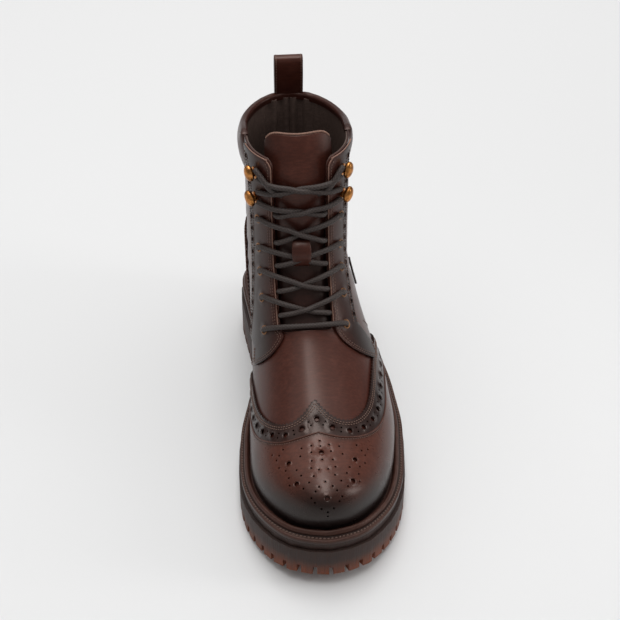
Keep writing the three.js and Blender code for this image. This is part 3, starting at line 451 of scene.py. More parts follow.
def panel_mesh(name, outline, holes, burnish_and_shade, spacing=2.2, lift=0.0):
    """A flat pattern with holes (station, around, radius), filled with triangles and lasted."""
    loops, cuts = [outline], []
    for *centre, radius in holes:
        sides = 12 if radius > 1 else 8
        cuts.append((np.array(centre), radius, circle_on_skin(centre, radius, sides)))
        loops.append(cuts[-1][2])
        loops += [circle_on_skin(centre, bound * radius, sides) for bound in RING_BOUNDS if radius > 1]
    border = np.vstack(loops) * PLANE
    low, high = (outline * PLANE).min(0), (outline * PLANE).max(0)
    rows, columns = np.arange(low[0], high[0], spacing * 0.866), np.arange(low[1], high[1], spacing)
    inner = np.array([(r, c + (k % 2) * spacing / 2) for k, r in enumerate(rows) for c in columns])
    inner = inner[within(inner / PLANE, outline)]
    inner = inner[nearest(inner, border) > 0.55 * spacing]
    for centre, radius, _ in cuts:
        reach = (1.9 if radius > 1 else 1.3) * radius
        inner = inner[np.linalg.norm(inner - centre * PLANE, axis=1) > reach]
    edges, start = [], 0
    for loop in loops:
        count = len(loop)
        edges += [(start + i, start + (i + 1) % count) for i in range(count)]
        start += count
    flat = [Vector((p[1], p[0])) for p in np.vstack([border, inner])]
    corners, _, faces, *_ = delaunay_2d_cdt(flat, edges, [], 1, 1e-5)
    corners = np.array([(c.y, c.x) for c in corners]) / PLANE
    faces = np.array(faces)
    middles = corners[faces].mean(1)
    keep = within(middles, outline)
    for centre, radius, ring in cuts:
        near = np.abs((middles - centre) * PLANE).max(1) < 3 * radius
        keep[near] &= ~within(middles[near], ring)
    faces = faces[keep]
    a, b, c = (corners[faces[:, k]][:, ::-1] for k in range(3))
    turn = (b[:, 0] - a[:, 0]) * (c[:, 1] - a[:, 1]) - (b[:, 1] - a[:, 1]) * (c[:, 0] - a[:, 0])
    faces[turn < 0] = faces[turn < 0][:, ::-1]
    faces = faces[np.abs(turn) > 1e-9]
    rise = np.full(len(corners), float(lift))
    for centre, radius, _ in cuts:
        if radius > 1:
            near = np.nonzero(np.abs((corners - centre) * PLANE).max(1) < 4 * radius)[0]
            apart = np.linalg.norm(skin_point(*corners[near].T) - skin_point(*centre), axis=1) / radius
            for height, at, width in RING_RELIEF:
                rise[near] += height * np.exp(-((apart - at) / width) ** 2)
    mesh = bpy.data.meshes.new(name)
    mesh.from_pydata((skin(*corners.T, rise) * MM).tolist(), [], faces.tolist())
    give_attribute(mesh, "burnish_and_shade", burnish_and_shade(*corners.T))
    loose = bmesh.new()
    loose.from_mesh(mesh)
    bmesh.ops.delete(loose, geom=[v for v in loose.verts if not v.link_faces], context="VERTS")
    bmesh.ops.remove_doubles(loose, verts=loose.verts, dist=1e-6)
    loose.to_mesh(mesh)
    loose.free()
    return mesh


# %% Stitches: one small bead of thread, repeated along a line


def thread_bead(sides=6, rings=4):
    bm = bmesh.new()
    bmesh.ops.create_uvsphere(bm, u_segments=sides, v_segments=rings, radius=1.0)
    bmesh.ops.rotate(bm, verts=bm.verts, matrix=Matrix.Rotation(math.pi / 2, 3, "Y"))
    bm.verts.ensure_lookup_table()
    corners = np.array([v.co for v in bm.verts])
    faces = [[v.index for v in f.verts] for f in bm.faces]
    bm.free()
    return corners, faces


BEAD = thread_bead()


def repeat_bead(centres, ahead, up, size):
    """Copies of the bead at many places, of a length, width and height. Returns corners and faces."""
    corners, faces = BEAD
    axes = np.stack([ahead, unit(np.cross(up, ahead)), np.broadcast_to(up, ahead.shape)], 1)
    spots = centres[:, None] + (corners * np.array(size) / 2) @ axes
    count = len(corners)
    return spots.reshape(-1, 3), [[i * count + v for v in f] for i in range(len(centres)) for f in faces]


def stitch_row(path, pitch=2.2, length=1.6, width=0.6, lift=0.25):
    line = spread_evenly(path, pitch)
    points = skin(*line.T, lift)
    middle = (line[1:] + line[:-1]) / 2
    up = skin_normal(middle[:, 0], np.clip(middle[:, 1], -1, 1))
    ahead = unit(points[1:] - points[:-1])
    return repeat_bead((points[1:] + points[:-1]) / 2, ahead, up, (length, width, 0.9 * width))


def plain_mesh(name, points, faces):
    mesh = bpy.data.meshes.new(name)
    mesh.from_pydata((points * MM).tolist(), [], faces)
    mesh.polygons.foreach_set("use_smooth", [True] * len(mesh.polygons))
    return mesh


def join_rows(name, rows):
    faces, start = [], 0
    for spots, polygons in rows:
        faces += [[v + start for v in f] for f in polygons]
        start += len(spots)
    return plain_mesh(name, np.vstack([spots for spots, _ in rows]), faces)


# %% Tubes, for the lace, the raised seam and the pale cut edges


def smooth_points(points, count=90):
    """The same line with even steps and its corners eased."""
    run = run_of(points)
    line = at_run(points, run, np.linspace(0, run[-1], count))
    for _ in range(4):
        line[1:-1] = (line[:-2] + 2 * line[1:-1] + line[2:]) / 4
    return line


def tube_mesh(name, points, radius, sides=8, closed_ends=False):
    """A round tube along a line. Its UV holds turns around and metres along."""
    ahead = unit(np.gradient(points, axis=0))
    across, sideways = np.empty_like(points), np.cross(ahead[0], (0.3, 0.2, 1))
    for i, direction in enumerate(ahead):
        sideways = unit(sideways - direction * sideways.dot(direction))
        across[i] = sideways
    turn = np.linspace(0, 2 * math.pi, sides, endpoint=False)[None, :, None]
    ring = np.cos(turn) * across[:, None] + np.sin(turn) * np.cross(ahead, across)[:, None]
    corners = (points[:, None] + radius * ring).reshape(-1, 3)
    run = run_of(points) * MM
    faces, uvs = [], []
    for i in range(len(points) - 1):
        for k in range(sides):
            after = (k + 1) % sides
            faces.append([i * sides + k, i * sides + after, (i + 1) * sides + after, (i + 1) * sides + k])
            left, right = k / sides, (k + 1) / sides
            uvs += [(left, run[i]), (right, run[i]), (right, run[i + 1]), (left, run[i + 1])]
    if closed_ends:
        last = (len(points) - 1) * sides
        faces += [list(range(sides))[::-1], [last + k for k in range(sides)]]
        uvs += [(0.5, run[0])] * sides + [(0.5, run[-1])] * sides
    mesh = plain_mesh(name, corners, faces)
    mesh.uv_layers.new(name="UVMap").data.foreach_set("uv", np.array(uvs, np.float32).ravel())
    return mesh


# %% [markdown]
# ## Finishes
# Polished leather is dyed, then burnished darker by hand, so its colour drifts slowly and its pores and
# fine scratches only show in the gloss. One node group makes that drift, the pores and the darkening, and
# each leather feeds it with its own colours. The darkening is real burnishing on some parts and painted
# shade on the sides and hollows of others. A painted picture could do it too, but the pattern would stretch.

# %% Node helpers


class Nodes:
    """A short way to add nodes and join them."""

    def __init__(self, tree):
        self.tree = tree

    def feed(self, node, inputs):
        """Links or sets the inputs of a node, each by its name or its number."""
        for key, value in inputs.items():
            if isinstance(value, bpy.types.NodeSocket):
                self.tree.links.new(value, node.inputs[key])
            else:
                node.inputs[key].default_value = value

    def add(self, kind, settings=None, inputs=None):
        node = self.tree.nodes.new(kind)
        for key, value in (settings or {}).items():
            setattr(node, key, value)
        self.feed(node, inputs or {})
        return node

    def place(self, stretch=None):
        place = self.add("ShaderNodeTexCoord").outputs["Object"]
        if stretch:
            place = self.add("ShaderNodeMapping", None, {"Vector": place, "Scale": stretch}).outputs[0]
        return place

    def attribute(self, name):
        return self.add("ShaderNodeAttribute", {"attribute_name": name}).outputs["Fac"]

    def math(self, operation, a, b=0.5):
        return self.add("ShaderNodeMath", {"operation": operation}, {0: a, 1: b}).outputs[0]

    def drift(self, value, noise, amount):
        """The value, moved up and down by a noise."""
        return self.math("ADD", value, self.math("MULTIPLY", self.math("SUBTRACT", noise, 0.5), amount))

    def mix(self, share, a, b, blend="MIX"):
        settings = {"data_type": "RGBA", "blend_type": blend}
        return self.add("ShaderNodeMix", settings, {0: share, 6: a, 7: b}).outputs[2]

    def shaded(self, colour, grey):
        grey = self.add("ShaderNodeCombineColor", None, {0: grey, 1: grey, 2: grey}).outputs[0]
        return self.mix(1.0, colour, grey, "MULTIPLY")

    def noise(self, scale, detail, roughness, place):
        inputs = {"Scale": scale, "Detail": detail, "Roughness": roughness, "Vector": place}
        return self.add("ShaderNodeTexNoise", None, inputs).outputs["Fac"]

    def remap(self, value, low, high, to_low=0.0, to_high=1.0):
        inputs = {"Value": value, "From Min": low, "From Max": high, "To Min": to_low, "To Max": to_high}
        return self.add("ShaderNodeMapRange", {"interpolation_type": "SMOOTHSTEP"}, inputs).outputs[0]

    def bump(self, height, distance, strength):
        inputs = {"Height": height, "Distance": distance, "Strength": strength}
        return self.add("ShaderNodeBump", None, inputs).outputs[0]


def new_material(name):
    material = bpy.data.materials.new(name)
    material.use_nodes = True
    return material, Nodes(material.node_tree), material.node_tree.nodes["Principled BSDF"]


def tinted(colour, share):
    return tuple(min(1, c * share) for c in colour) + (1,)


# %% Leather group


def make_leather_group():
    group = bpy.data.node_groups.new("leather surface", "ShaderNodeTree")
    colour, number = "NodeSocketColor", "NodeSocketFloat"
    for title, kind in (("Colour", colour), ("Burnish_and_shade", colour), ("Glow", colour), ("Grain", number),
                        ("Gloss", number)):
        group.interface.new_socket(title, in_out="INPUT", socket_type=kind)
    for title, kind in (("Colour", colour), ("Roughness", number), ("Height", number)):
        group.interface.new_socket(title, in_out="OUTPUT", socket_type=kind)
    given, result = group.nodes.new("NodeGroupInput").outputs, group.nodes.new("NodeGroupOutput")
    n = Nodes(group)
    place = n.place()
    cloud = n.noise(90, 5, 0.6, place)
    strokes = n.noise(420, 4, 0.65, n.place((0.35, 1.6, 1.6)))
    # The dark colour is mixed in by the per-corner value: real burnishing on some parts, painted shade on
    # others.
    amount = n.drift(n.attribute("burnish_and_shade"), n.noise(26, 3, 0.5, place), 0.55)
    amount = n.remap(n.drift(amount, cloud, 0.25), 0.0, 1.0)
    warm = n.mix(n.remap(cloud, 0.45, 0.75, 0.0, 0.55), given["Colour"], given["Glow"])
    tone = n.shaded(n.mix(amount, warm, given["Burnish_and_shade"]), n.remap(strokes, 0.35, 0.7, 0.82, 1.16))
    pores = n.add("ShaderNodeTexVoronoi", None, {"Vector": place, "Scale": 1250.0}).outputs["Distance"]
    fine = n.math("MULTIPLY", n.noise(2300, 3, 0.6, place), 0.5)
    height = n.math("ADD", n.math("MULTIPLY", n.remap(pores, 0.0, 0.5), 0.5), fine)
    rough = n.drift(n.drift(given["Gloss"], cloud, 0.16), strokes, 0.1)
    n.feed(result, {"Colour": tone, "Roughness": rough, "Height": n.math("MULTIPLY", height, given["Grain"])})
    return group


LEATHER_GROUP = make_leather_group()


def leather(name, colour, burnish_and_shade, glow, grain=1.0, gloss=0.4, coat=0.05):
    material, n, shader = new_material(name)
    surface = n.add("ShaderNodeGroup", {"node_tree": LEATHER_GROUP}, {
        "Colour": (*colour, 1), "Burnish_and_shade": (*burnish_and_shade, 1), "Glow": (*glow, 1), "Grain": grain, "Gloss": gloss})
    n.feed(shader, {
        "Base Color": surface.outputs["Colour"], "Roughness": surface.outputs["Roughness"],
        "Normal": n.bump(surface.outputs["Height"], 0.00006, 0.6), "Specular IOR Level": 0.3,
        "Specular Tint": (1, 0.8, 0.72, 1), "Coat Weight": coat, "Coat Roughness": 0.2})
    return material


POLISHED = leather("polished brown leather", (0.052, 0.0135, 0.0085), (0.01, 0.0045, 0.004),
                   (0.08, 0.024, 0.016), gloss=0.36)
BURNISHED = leather("burnished leather", (0.07, 0.02, 0.012), (0.0055, 0.0035, 0.0035), (0.09, 0.027, 0.017),
                    gloss=0.3, coat=0.08)
SEAM_LEATHER = leather("seam leather", (0.06, 0.022, 0.015), (0.03, 0.011, 0.008), (0.09, 0.034, 0.024))
BAND = leather("dark worked leather", (0.04, 0.016, 0.013), (0.01, 0.006, 0.006), (0.06, 0.025, 0.02))
LINING = leather("lining leather", (0.1, 0.068, 0.057), (0.04, 0.027, 0.023), (0.13, 0.09, 0.076),
                 grain=1.4, gloss=0.42, coat=0.0)
WELT = leather("welt leather", (0.045, 0.018, 0.013), (0.01, 0.0055, 0.005), (0.08, 0.036, 0.026), coat=0.0)

# %% Plain finishes for thread, brass and cut edges


def plain(name, colour, roughness, metallic=0.0, scale=3000, variation=0.3, relief=0.00004):
    material, n, shader = new_material(name)
    noise = n.noise(scale, 4, 0.6, n.place())
    colour = n.mix(n.remap(noise, 0.3, 0.7), tinted(colour, 1 - variation), tinted(colour, 1 + variation))
    n.feed(shader, {
        "Base Color": colour, "Roughness": n.math("ADD", roughness - 0.06, n.math("MULTIPLY", noise, 0.12)),
        "Normal": n.bump(noise, relief, 0.5), "Metallic": metallic})
    return material


THREAD = plain("brown thread", (0.13, 0.07, 0.05), 0.55)
WELT_THREAD = plain("welt thread", (0.1, 0.055, 0.04), 0.6)
BRASS = plain("aged brass", (0.4, 0.17, 0.05), 0.3, metallic=1.0, scale=300, variation=0.5)
DARK_BRASS = plain("dark brass", (0.2, 0.1, 0.05), 0.4, metallic=1.0, scale=300, variation=0.5)
EDGE = plain("cut leather edge", (0.2, 0.105, 0.075), 0.7, scale=1500)
FLOOR = plain("pale floor", (0.72, 0.72, 0.72), 0.95, scale=3, variation=0.0, relief=0.0)

# %% Braided cord: two sets of strands wind around it against each other


def make_cord(colour):
    material, n, shader = new_material("waxed cord")
    uv = n.add("ShaderNodeUVMap").outputs[0]
    turns, metres = n.add("ShaderNodeSeparateXYZ", None, {0: uv}).outputs[:2]
    strands = []
    for climb in (420.0, -420.0):
        phase = n.math("ADD", n.math("MULTIPLY", turns, 5.0), n.math("MULTIPLY", metres, climb))
        strands.append(n.math("ABSOLUTE", n.math("SINE", n.math("MULTIPLY", phase, math.pi))))
    weave = n.math("MULTIPLY", *strands)
    n.feed(shader, {"Base Color": n.mix(weave, tinted(colour, 0.55), tinted(colour, 1.25)),
                    "Normal": n.bump(weave, 0.00018, 0.7), "Roughness": 0.62})
    return material


CORD = make_cord((0.036, 0.023, 0.019))

# %% Rubber: dark at the top and clear gum near the ground, with upright ribs


def make_rubber():
    material, n, shader = new_material("sole rubber")
    toe = n.attribute("toe")
    cloud = n.noise(60, 4, 0.6, n.place())
    ribs = n.noise(900, 3, 0.6, n.place((1.0, 1.0, 0.06)))
    depth = n.math("ADD", n.drift(n.attribute("depth"), cloud, 7.0), n.math("MULTIPLY", toe, 5.0))
    gum = n.math("MULTIPLY", n.remap(depth, 24.0, 40.0), n.remap(toe, 0.0, 1.0, 0.3, 1.0))
    dark = n.mix(cloud, (0.02, 0.011, 0.009, 1), (0.045, 0.02, 0.014, 1))
    tone = n.mix(gum, dark, (0.17, 0.042, 0.013, 1))
    n.feed(shader, {
        "Base Color": n.shaded(tone, n.remap(ribs, 0.3, 0.7, 0.8, 1.15)), "Specular IOR Level": 0.35,
        "Roughness": n.remap(ribs, 0.2, 0.8, 0.5, 0.66), "Normal": n.bump(ribs, 0.0005, 0.8)})
    return material


RUBBER = make_rubber()

# %% [markdown]
# ## The upper
# The vamp and the quarters are one skin pulled over the last, 1.8 mm under the outer face of the
# overlays. It is a grid in two halves that meet on the ridge in front and on the back seam, and each
# half starts at the edge of the throat higher up. Creases are soft troughs added to its lift.

# %% Heights of the layers and the line of the collar
WALL, LINING_LIFT = -1.8, -4.0
THROAT_HALF, THROAT_FOOT, THROAT_CORNER = 19.5, 9.75, 0.35
EYELET_STATIONS, HOOK_STATIONS = [10.07, 11.17, 12.19, 13.44, 15.37], [16.72, 18.29]
EYELET_HALF, HOOK_HALF = 28.4, 29.6
top_line = splines("along rise", [
    (-0.1, 0.978), (0.024, 0.981), (0.14, 0.992), (0.25, 1.05), (0.33, 1.075), (0.41, 1.085), (0.55, 1.09),
], "along")


def top_at(along):
    return HEEL_SEAT + SHAFT_HEIGHT * top_line["rise"](along / LAST_LENGTH)


def top_station(around):
    """The station at which a line of constant angle reaches the collar's edge."""
    def below(station):
        point = skin_point(station, around)
        return point[:, 2] < top_at(HEEL_CENTRE - point[:, 1])

    return bisect(below, 13.9, TOP_STATION + 0.3, np.shape(around))


def throat_edge(station, side, half=THROAT_HALF):
    """The angle of the throat's edge, round at the foot and at the upper corner."""
    share = np.clip((station - THROAT_FOOT) / THROAT_CORNER, 0, 1)
    width = half * (1 - (1 - share) ** 4) ** 0.25 + 9 * ramp(station, 18.5, 0.9) ** 3
    return np.where(station > THROAT_FOOT, around_at(station, side, np.maximum(width, 0.01)), 0)


def creases(station, around):
    """Soft folds where the shaft gives at the ankle and where the vamp bends."""
    folds = 0.0
    for at, slope, low, high, depth, width in (
            (12.6, 1.6, 0.30, 0.62, 0.55, 0.16), (13.3, 1.9, 0.34, 0.7, 0.6, 0.17),
            (14.3, 1.2, 0.4, 0.8, 0.5, 0.22), (15.6, 0.8, 0.45, 0.9, 0.35, 0.25)):
        centre = at - slope * (np.abs(around) - low)
        reach = ease(ramp(np.abs(around), low, 0.12) * np.clip((high - np.abs(around)) / 0.15, 0, 1))
        offset = (station - centre) / width
        folds = folds - depth * reach * (np.exp(-offset**2) - 0.6 * np.exp(-((offset - 1.9) / 1.2) ** 2))
    return folds


STATION_ROWS = np.concatenate([
    np.linspace(0, 0.5, 5)[:-1], np.linspace(0.5, 9.7, 74)[:-1], np.linspace(9.7, 10.2, 15)[:-1],
    np.linspace(10.2, 16, 60)[:-1], np.linspace(16, 20.5, 44)])


def half_places(side, across, along, inset=0.0, below_top=0.0):
    """Station and angle over one half of the boot, from the ridge or throat to the base or back."""
    row = np.interp(along, np.linspace(0, 1, len(STATION_ROWS)), STATION_ROWS)
    top = top_station(side * (0.22 + 0.78 * across)) - below_top
    station = np.where(row > 16, 16 + (row - 16) / 4.5 * (top - 16), row)
    edge = np.abs(throat_edge(station, side, THROAT_HALF + inset))
    return station, side * (edge + across * (1 - edge))


def burnish_and_shade_of(station, around):
    """Darker low on the sides of the forepart, on the sides of the ankle and near the collar: partly
    burnishing rubbed in by hand, partly painted shade on the side walls that turn away from the overhead
    light.
    """
    around = np.abs(around)
    low = ramp(around, 0.3, 0.5) ** 1.3 * np.clip((13 - station) / 3, 0, 1)
    ankle = ramp(around, 0.2, 0.5) * ramp(station, 9, 3) * 0.45
    top = ramp(station, 17, 3) * 0.3
    return np.clip(0.1 + 0.75 * low + ankle + top, 0, 1.1)


def upper_place(side, across, along):
    station, around = half_places(side, across, along)
    tuck = np.where(station < HEEL_STATION, 1 + 0.035 * ramp(across, 0.985, 0.015), 1)
    return skin(station, around * tuck, WALL + creases(station, around))


upper_mesh = join_halves("upper leather", 64, len(STATION_ROWS) - 1, upper_place,
                         burnish_and_shade=lambda side, a, b: burnish_and_shade_of(*half_places(side, a, b)))
upper_mesh = finish_mesh(upper_mesh, thickness=1.3, bevel=0.25)
add_piece("vamp_and_quarters", upper_mesh, POLISHED, ["upper"])
print(f"upper: {len(upper_mesh.polygons)} faces")

# %% [markdown]
# ## The lining
# Inside, a soft dark leather covers the wall. At the back of the collar it is gathered into small upright
# folds where the padding turns. The folds are waves in its lift that fade out downwards and sideways.

# %% Lining and its gathers


def gathers(station, around):
    """Upright folds at the back, deepest under the collar, of uneven depth."""
    waves = np.cos(around * 84) * 0.55 + np.cos(around * 57 + 0.7) * 0.45
    return ease(ramp(np.abs(around), 0.72, 0.2)) * ramp(station, 14.6, 2.2) * (0.2 + waves)


def lining_place(side, across, along):
    station, around = half_places(side, across, along, 0.6, 0.05)
    return skin(station, around, LINING_LIFT - 2.0 * np.maximum(gathers(station, around), -0.35))


lining_mesh = join_halves("lining", 110, len(STATION_ROWS) - 1, lining_place, outwards=False)
lining_mesh = finish_mesh(lining_mesh, thickness=0.8)
add_piece("lining", lining_mesh, LINING)
print(f"lining: {len(lining_mesh.polygons)} faces")

# %% [markdown]
# ## The wing cap
# Its edge comes to a point on the vamp, dips on both sides and sweeps back along the sole as two wings.
# The edge is pinked with small teeth. Behind it run two rows of stitches, a band of large ringed holes
# with small ones between, and a raised seam. The toe below is punched with a medallion.

# %% Wing edge and seam, as places on the last: station and angle to either side
WING = {-1: [(7.32, 0), (6.8, 0.1), (6.62, 0.2), (6.82, 0.34), (7.45, 0.475), (8.4, 0.58), (9.2, 0.76),
             (9.6, 1)],
        1: [(7.32, 0), (6.8, 0.07), (6.62, 0.15), (6.95, 0.26), (7.6, 0.32), (8.6, 0.38), (9.5, 0.46),
            (10.1, 0.64), (10.35, 1)]}
SEAM = {-1: [(6.28, 0), (6.15, 0.11), (6.05, 0.23), (6.15, 0.36), (6.5, 0.5), (7.2, 0.62), (8.1, 0.75),
             (9, 1)],
        1: [(6.28, 0), (6.12, 0.09), (6.08, 0.17), (6.2, 0.28), (6.6, 0.38), (7.3, 0.45), (8.4, 0.53),
            (9.4, 0.68), (9.9, 1)]}


def curve_through(places, count=160):
    """A smooth line through a few places on the last."""
    run = run_of(places * PLANE)
    wanted = np.linspace(0, run[-1], count)
    return np.stack([spline(run, column)(wanted) for column in places.T], -1)


def on_side(table, side, count=160):
    return curve_through(np.array([(station, side * around) for station, around in table]), count)


def inside_of(line, side, distance):
    """The line moved towards the sole, kept on its own side of the ridge."""
    moved = beside(line, -side * distance)
    return moved[moved[:, 1] * side > -0.002]


def at_distance(line, distance):
    return at_run(line, run_of(skin(*line.T)), distance)


def band_holes(side, pitch=12.2):
    """Large holes along the middle of the band with a pair of small ones between."""
    middle = 0.42 * on_side(WING[side], side) + 0.58 * on_side(SEAM[side], side)
    found = []
    for i in range(int((run_of(skin(*middle.T))[-1] - 4) / pitch)):
        if i or side > 0:
            found.append((*at_distance(middle, i * pitch), 1.75))
        pair = at_distance(middle, (i + 0.5) * pitch + np.array([0, 0.4]))
        found += [(*beside(pair, offset)[0], 0.7) for offset in (-1.6, 1.6)]
    return found


MEDALLION_LARGE = [(5.6, 0), (5.26, 22), (4.26, 18.5), (3.27, 0)]
MEDALLION_SMALL = [
    (6.0, 0), (5.82, 0), (5.33, 0), (4.3, 0), (2.15, 0), (1.7, 0), (5.85, 6), (5.62, 6.5), (5.3, 7), (5.0, 8),
    (4.92, 3), (4.62, 7), (4.3, 10.5), (4.02, 4.5), (3.75, 7), (3.35, 10), (3.02, 8), (2.5, 4), (5.78, 12.5),
    (5.5, 14), (4.68, 15), (4.95, 17.5), (3.97, 14.5), (5.8, 24.5), (5.6, 27.5), (5.42, 29.5), (5.1, 28.5),
    (5.64, 32), (4.95, 24.5), (4.6, 23), (4.2, 23)]


def medallion():
    """Holes at stations and distances from the ridge, on both sides of it."""
    found = []
    for places, radius in ((MEDALLION_LARGE, 1.6), (MEDALLION_SMALL, 0.78)):
        for station, distance in places:
            for side in (-1, 1) if distance else (1,):
                around = around_at(station, side, distance)[0] if distance else 0.0
                found.append((station, around, radius))
    return found


def cap_burnish_and_shade(station, around):
    """Dark on the band, warm under the seam, almost black at the tip of the toe, and darker down the sides as
    painted shade.
    """
    medial, lateral = (np.interp(np.abs(around), *np.array(SEAM[side]).T[::-1]) for side in (-1, 1))
    seam = np.where(around < 0, medial, lateral)
    below = np.clip((seam - station) / 0.25, 0, 1)
    toe = np.clip((5.3 - station) / 3.2, 0, 1)
    side = ramp(np.abs(around), 0.3, 0.45)
    return (1 - below) * 0.75 + below * np.clip(0.02 + toe * 0.95 + side * 0.8, 0, 1.1)


wing_edges = {side: on_side(WING[side], side) for side in (-1, 1)}
teeth = np.vstack([pinked(wing_edges[-1][::-1], 3.0, 1.2)[:-1], pinked(wing_edges[1], 3.0, 1.2)])
toe_stations = np.concatenate([np.linspace(teeth[-1, 0], 1, 50)[1:], [0.7, 0.45, 0.25, 0.1, 0.0]])
cap_outline = np.vstack([teeth, [(s, 1.03) for s in toe_stations],
                         [(s, -1.03) for s in np.concatenate([toe_stations[::-1], [teeth[0, 0]]])]])
holes = band_holes(-1) + band_holes(1) + medallion()
cap_mesh = finish_mesh(panel_mesh("wing cap", cap_outline, holes, cap_burnish_and_shade), thickness=1.4, bevel=0.2)
add_piece("wing_cap_leather", cap_mesh, BURNISHED, ["wing_cap"])
print(f"wing cap: {len(holes)} holes, {len(cap_mesh.polygons)} faces")

# %% [markdown]
# ## Facings, counter and side seams
# The facings carry the eyelets. Each is cut along the throat and across the vamp, and its rear edge is
# pinked like the wing. The counter wraps the heel in two halves that meet on the back seam. Its outline is
# easier to lay out from the side of the boot, so a helper turns a length and a height into a place.

# %% Facings


def facing_outline(side):
    """Throat edge, rounded top, pinked rear edge and the curved front edge across the vamp."""
    stations = np.linspace(10.0, 19.4, 90)
    throat = np.stack([stations, throat_edge(stations, side, 19.8)], -1)
    throat = throat[throat[:, 0] < top_station(throat[:, 1])]
    down = np.linspace(19.5, 10.2, 60)
    share = ramp(down, 9, 11)
    width = 33.5 + 9 * np.maximum(0, 1 - 2.6 * share) ** 2 + 4 * share**6
    rear = np.stack([down, around_at(down, side, width)], -1)
    rear = rear[rear[:, 0] < top_station(rear[:, 1]) - 0.12]
    angles = side * np.linspace(abs(throat[-1, 1]), abs(rear[0, 1]) - 0.005, 14)[1:]
    top = np.stack([top_station(angles) + 0.02, angles], -1)
    corner = [(9.6, side * 0.44), (9.1, side * 0.47), (8.95, side * 0.45)]
    end = (throat[0, 0], side * throat[0, 1])
    foot = [(8.92, 0.43), (8.9, 0.35), (9.0, 0.26), (9.3, 0.19), (9.7, 0.155), end]
    foot = np.vstack([corner, on_side(foot, side, 50)[:-1]])
    return throat, top, pinked(rear, 2.4, -0.8 * side), foot


def punched_row(line, pitch, large, last):
    """Holes along a line, away from its ends, one large for every two small ones."""
    return [(*place, 0.6 if i % 3 else large) for i, place in enumerate(spread_evenly(line, pitch)[2:last])]


QUARTER_SEAM = [(9.0, 0.46), (9.25, 0.6), (9.75, 0.78), (10.3, 0.99)]
SIDES = ((-1, "medial"), (1, "lateral"))
rows = []
for side, word in SIDES:
    throat, top, rear, foot = facing_outline(side)
    holes = [(s, around_at(s, side, EYELET_HALF)[0], 2.4) for s in EYELET_STATIONS]
    holes += punched_row(beside(rear[::2], -3.8 * side), 3.1, 1.3, -2)
    # The facings darken towards their outer sides: painted shade on the walls turned away from the light.
    mesh = panel_mesh(f"facing {word}", np.vstack([throat, top, rear, foot]), holes,
                      lambda s, a: 0.4 + 0.65 * ramp(np.abs(a), 0.17, 0.2), lift=0.15)
    mesh = finish_mesh(mesh, thickness=1.5, bevel=0.25)
    add_piece(f"facing_leather_{word}", mesh, POLISHED, [f"facing_{word}"])
    front = np.vstack([throat[::-1][-60:], foot[::-1]])
    rows += [stitch_row(beside(front, distance * side)) for distance in (1.5, 3.3)]
    rows.append(stitch_row(beside(throat[30:], -1.7 * side)))
    quarter = on_side(QUARTER_SEAM, side, 50)
    quarter_edge = tube_mesh("quarter edge", skin(*quarter.T, -1.5), 0.8)
    add_piece(f"quarter_edge_{word}", quarter_edge, POLISHED)
    rows += [stitch_row(beside(quarter, distance * side), lift=WALL + 0.15) for distance in (2.0, 3.8)]
    for distance in (1.6, 6.2):
        line = beside(rear[::2], -distance * side)
        rows.append(stitch_row(line[line[:, 0] < top_station(line[:, 1]) - 0.2], 2.0, 1.4))
    angles = side * np.linspace(abs(throat[-1, 1]), 0.345, 14)
    cut = np.vstack([skin(*throat.T, -0.55), skin(top_station(angles), angles, -0.55)])
    add_piece(f"facing_edge_{word}", tube_mesh("cut edge", cut, 0.62, 6), EDGE)

# %% Places seen from the side


def place_from_side(side, along_share, rise_share):
    along, height = LAST_LENGTH * along_share, HEEL_SEAT + SHAFT_HEIGHT * rise_share

    def before(station):
        ridge, base, high, low = slice_of(station)
        return (base - ridge) * (height - high) - (low - high) * (along - ridge) < 0

    station = bisect(before, 0.5, TOP_STATION + 0.2, along.shape)
    ridge, base, _, _ = slice_of(station)
    share = (ridge - along) / (ridge - base) / np.interp(station, end_stations, end_shares)
    return np.stack([station, side * np.arccos(1 - 2 * np.clip(share, 0, 1)) / math.pi], -1)


def side_curve(side, places, count=60):
    shares = np.array(places)
    run = run_of(shares)
    wanted = np.linspace(0, run[-1], count)
    line = place_from_side(side, *(spline(run, column)(wanted) for column in shares.T))
    ended = np.nonzero(np.abs(line[:, 1]) > 0.995)[0]
    ended = ended[ended > count // 3]
    if len(ended):
        line = line[:ended[0] + 1]
        line[-1, 1] = side
    return line


# %% Heel counter, pinked and punched like the wing
COUNTER_EDGE = [(0.328, -0.06), (0.315, 0.05), (0.26, 0.2), (0.165, 0.33), (0.06, 0.42), (-0.06, 0.46)]
for side, word in SIDES:
    edge = side_curve(side, COUNTER_EDGE)
    edge = edge[np.abs(edge[:, 1]) > 0.02]
    free = edge[np.abs(edge[:, 1]) < 0.97]
    cut = pinked(edge[np.abs(edge[:, 1]) < 0.95], 3.0, 1.2 * side)
    back_down = [(s, side) for s in np.linspace(edge[-1, 0], HEEL_STATION + 0.02, 16)]
    base = [(s, side * 1.03) for s in np.linspace(HEEL_STATION - 0.02, cut[0, 0], 34)]
    punched = [p for p in punched_row(beside(free, -5.8 * side), 3.4, 1.35, -1) if abs(p[1]) < 0.95]
    mesh = panel_mesh(f"counter {word}", np.vstack([cut, back_down, base]), punched,
                      lambda s, a: 0.45 + 0.4 * np.clip((14 - s) / 3, 0, 1) * np.abs(a), spacing=2.4)
    mesh = finish_mesh(mesh, thickness=1.4, bevel=0.2)
    stands_for = ["heel_counter"] if side > 0 else ()
    add_piece(f"heel_counter_{word}", mesh, BURNISHED, stands_for)
    rows += [stitch_row(beside(free, -distance * side), 2.1, 1.5, 0.62, 0.12) for distance in (1.5, 3.1, 8.4)]
    seam = np.stack([np.linspace(HEEL_STATION + 0.3, 17.4, 40), np.full(40, side * 0.965)], -1)
    rows.append(stitch_row(seam, 2.4, 1.7, lift=WALL + 0.15))

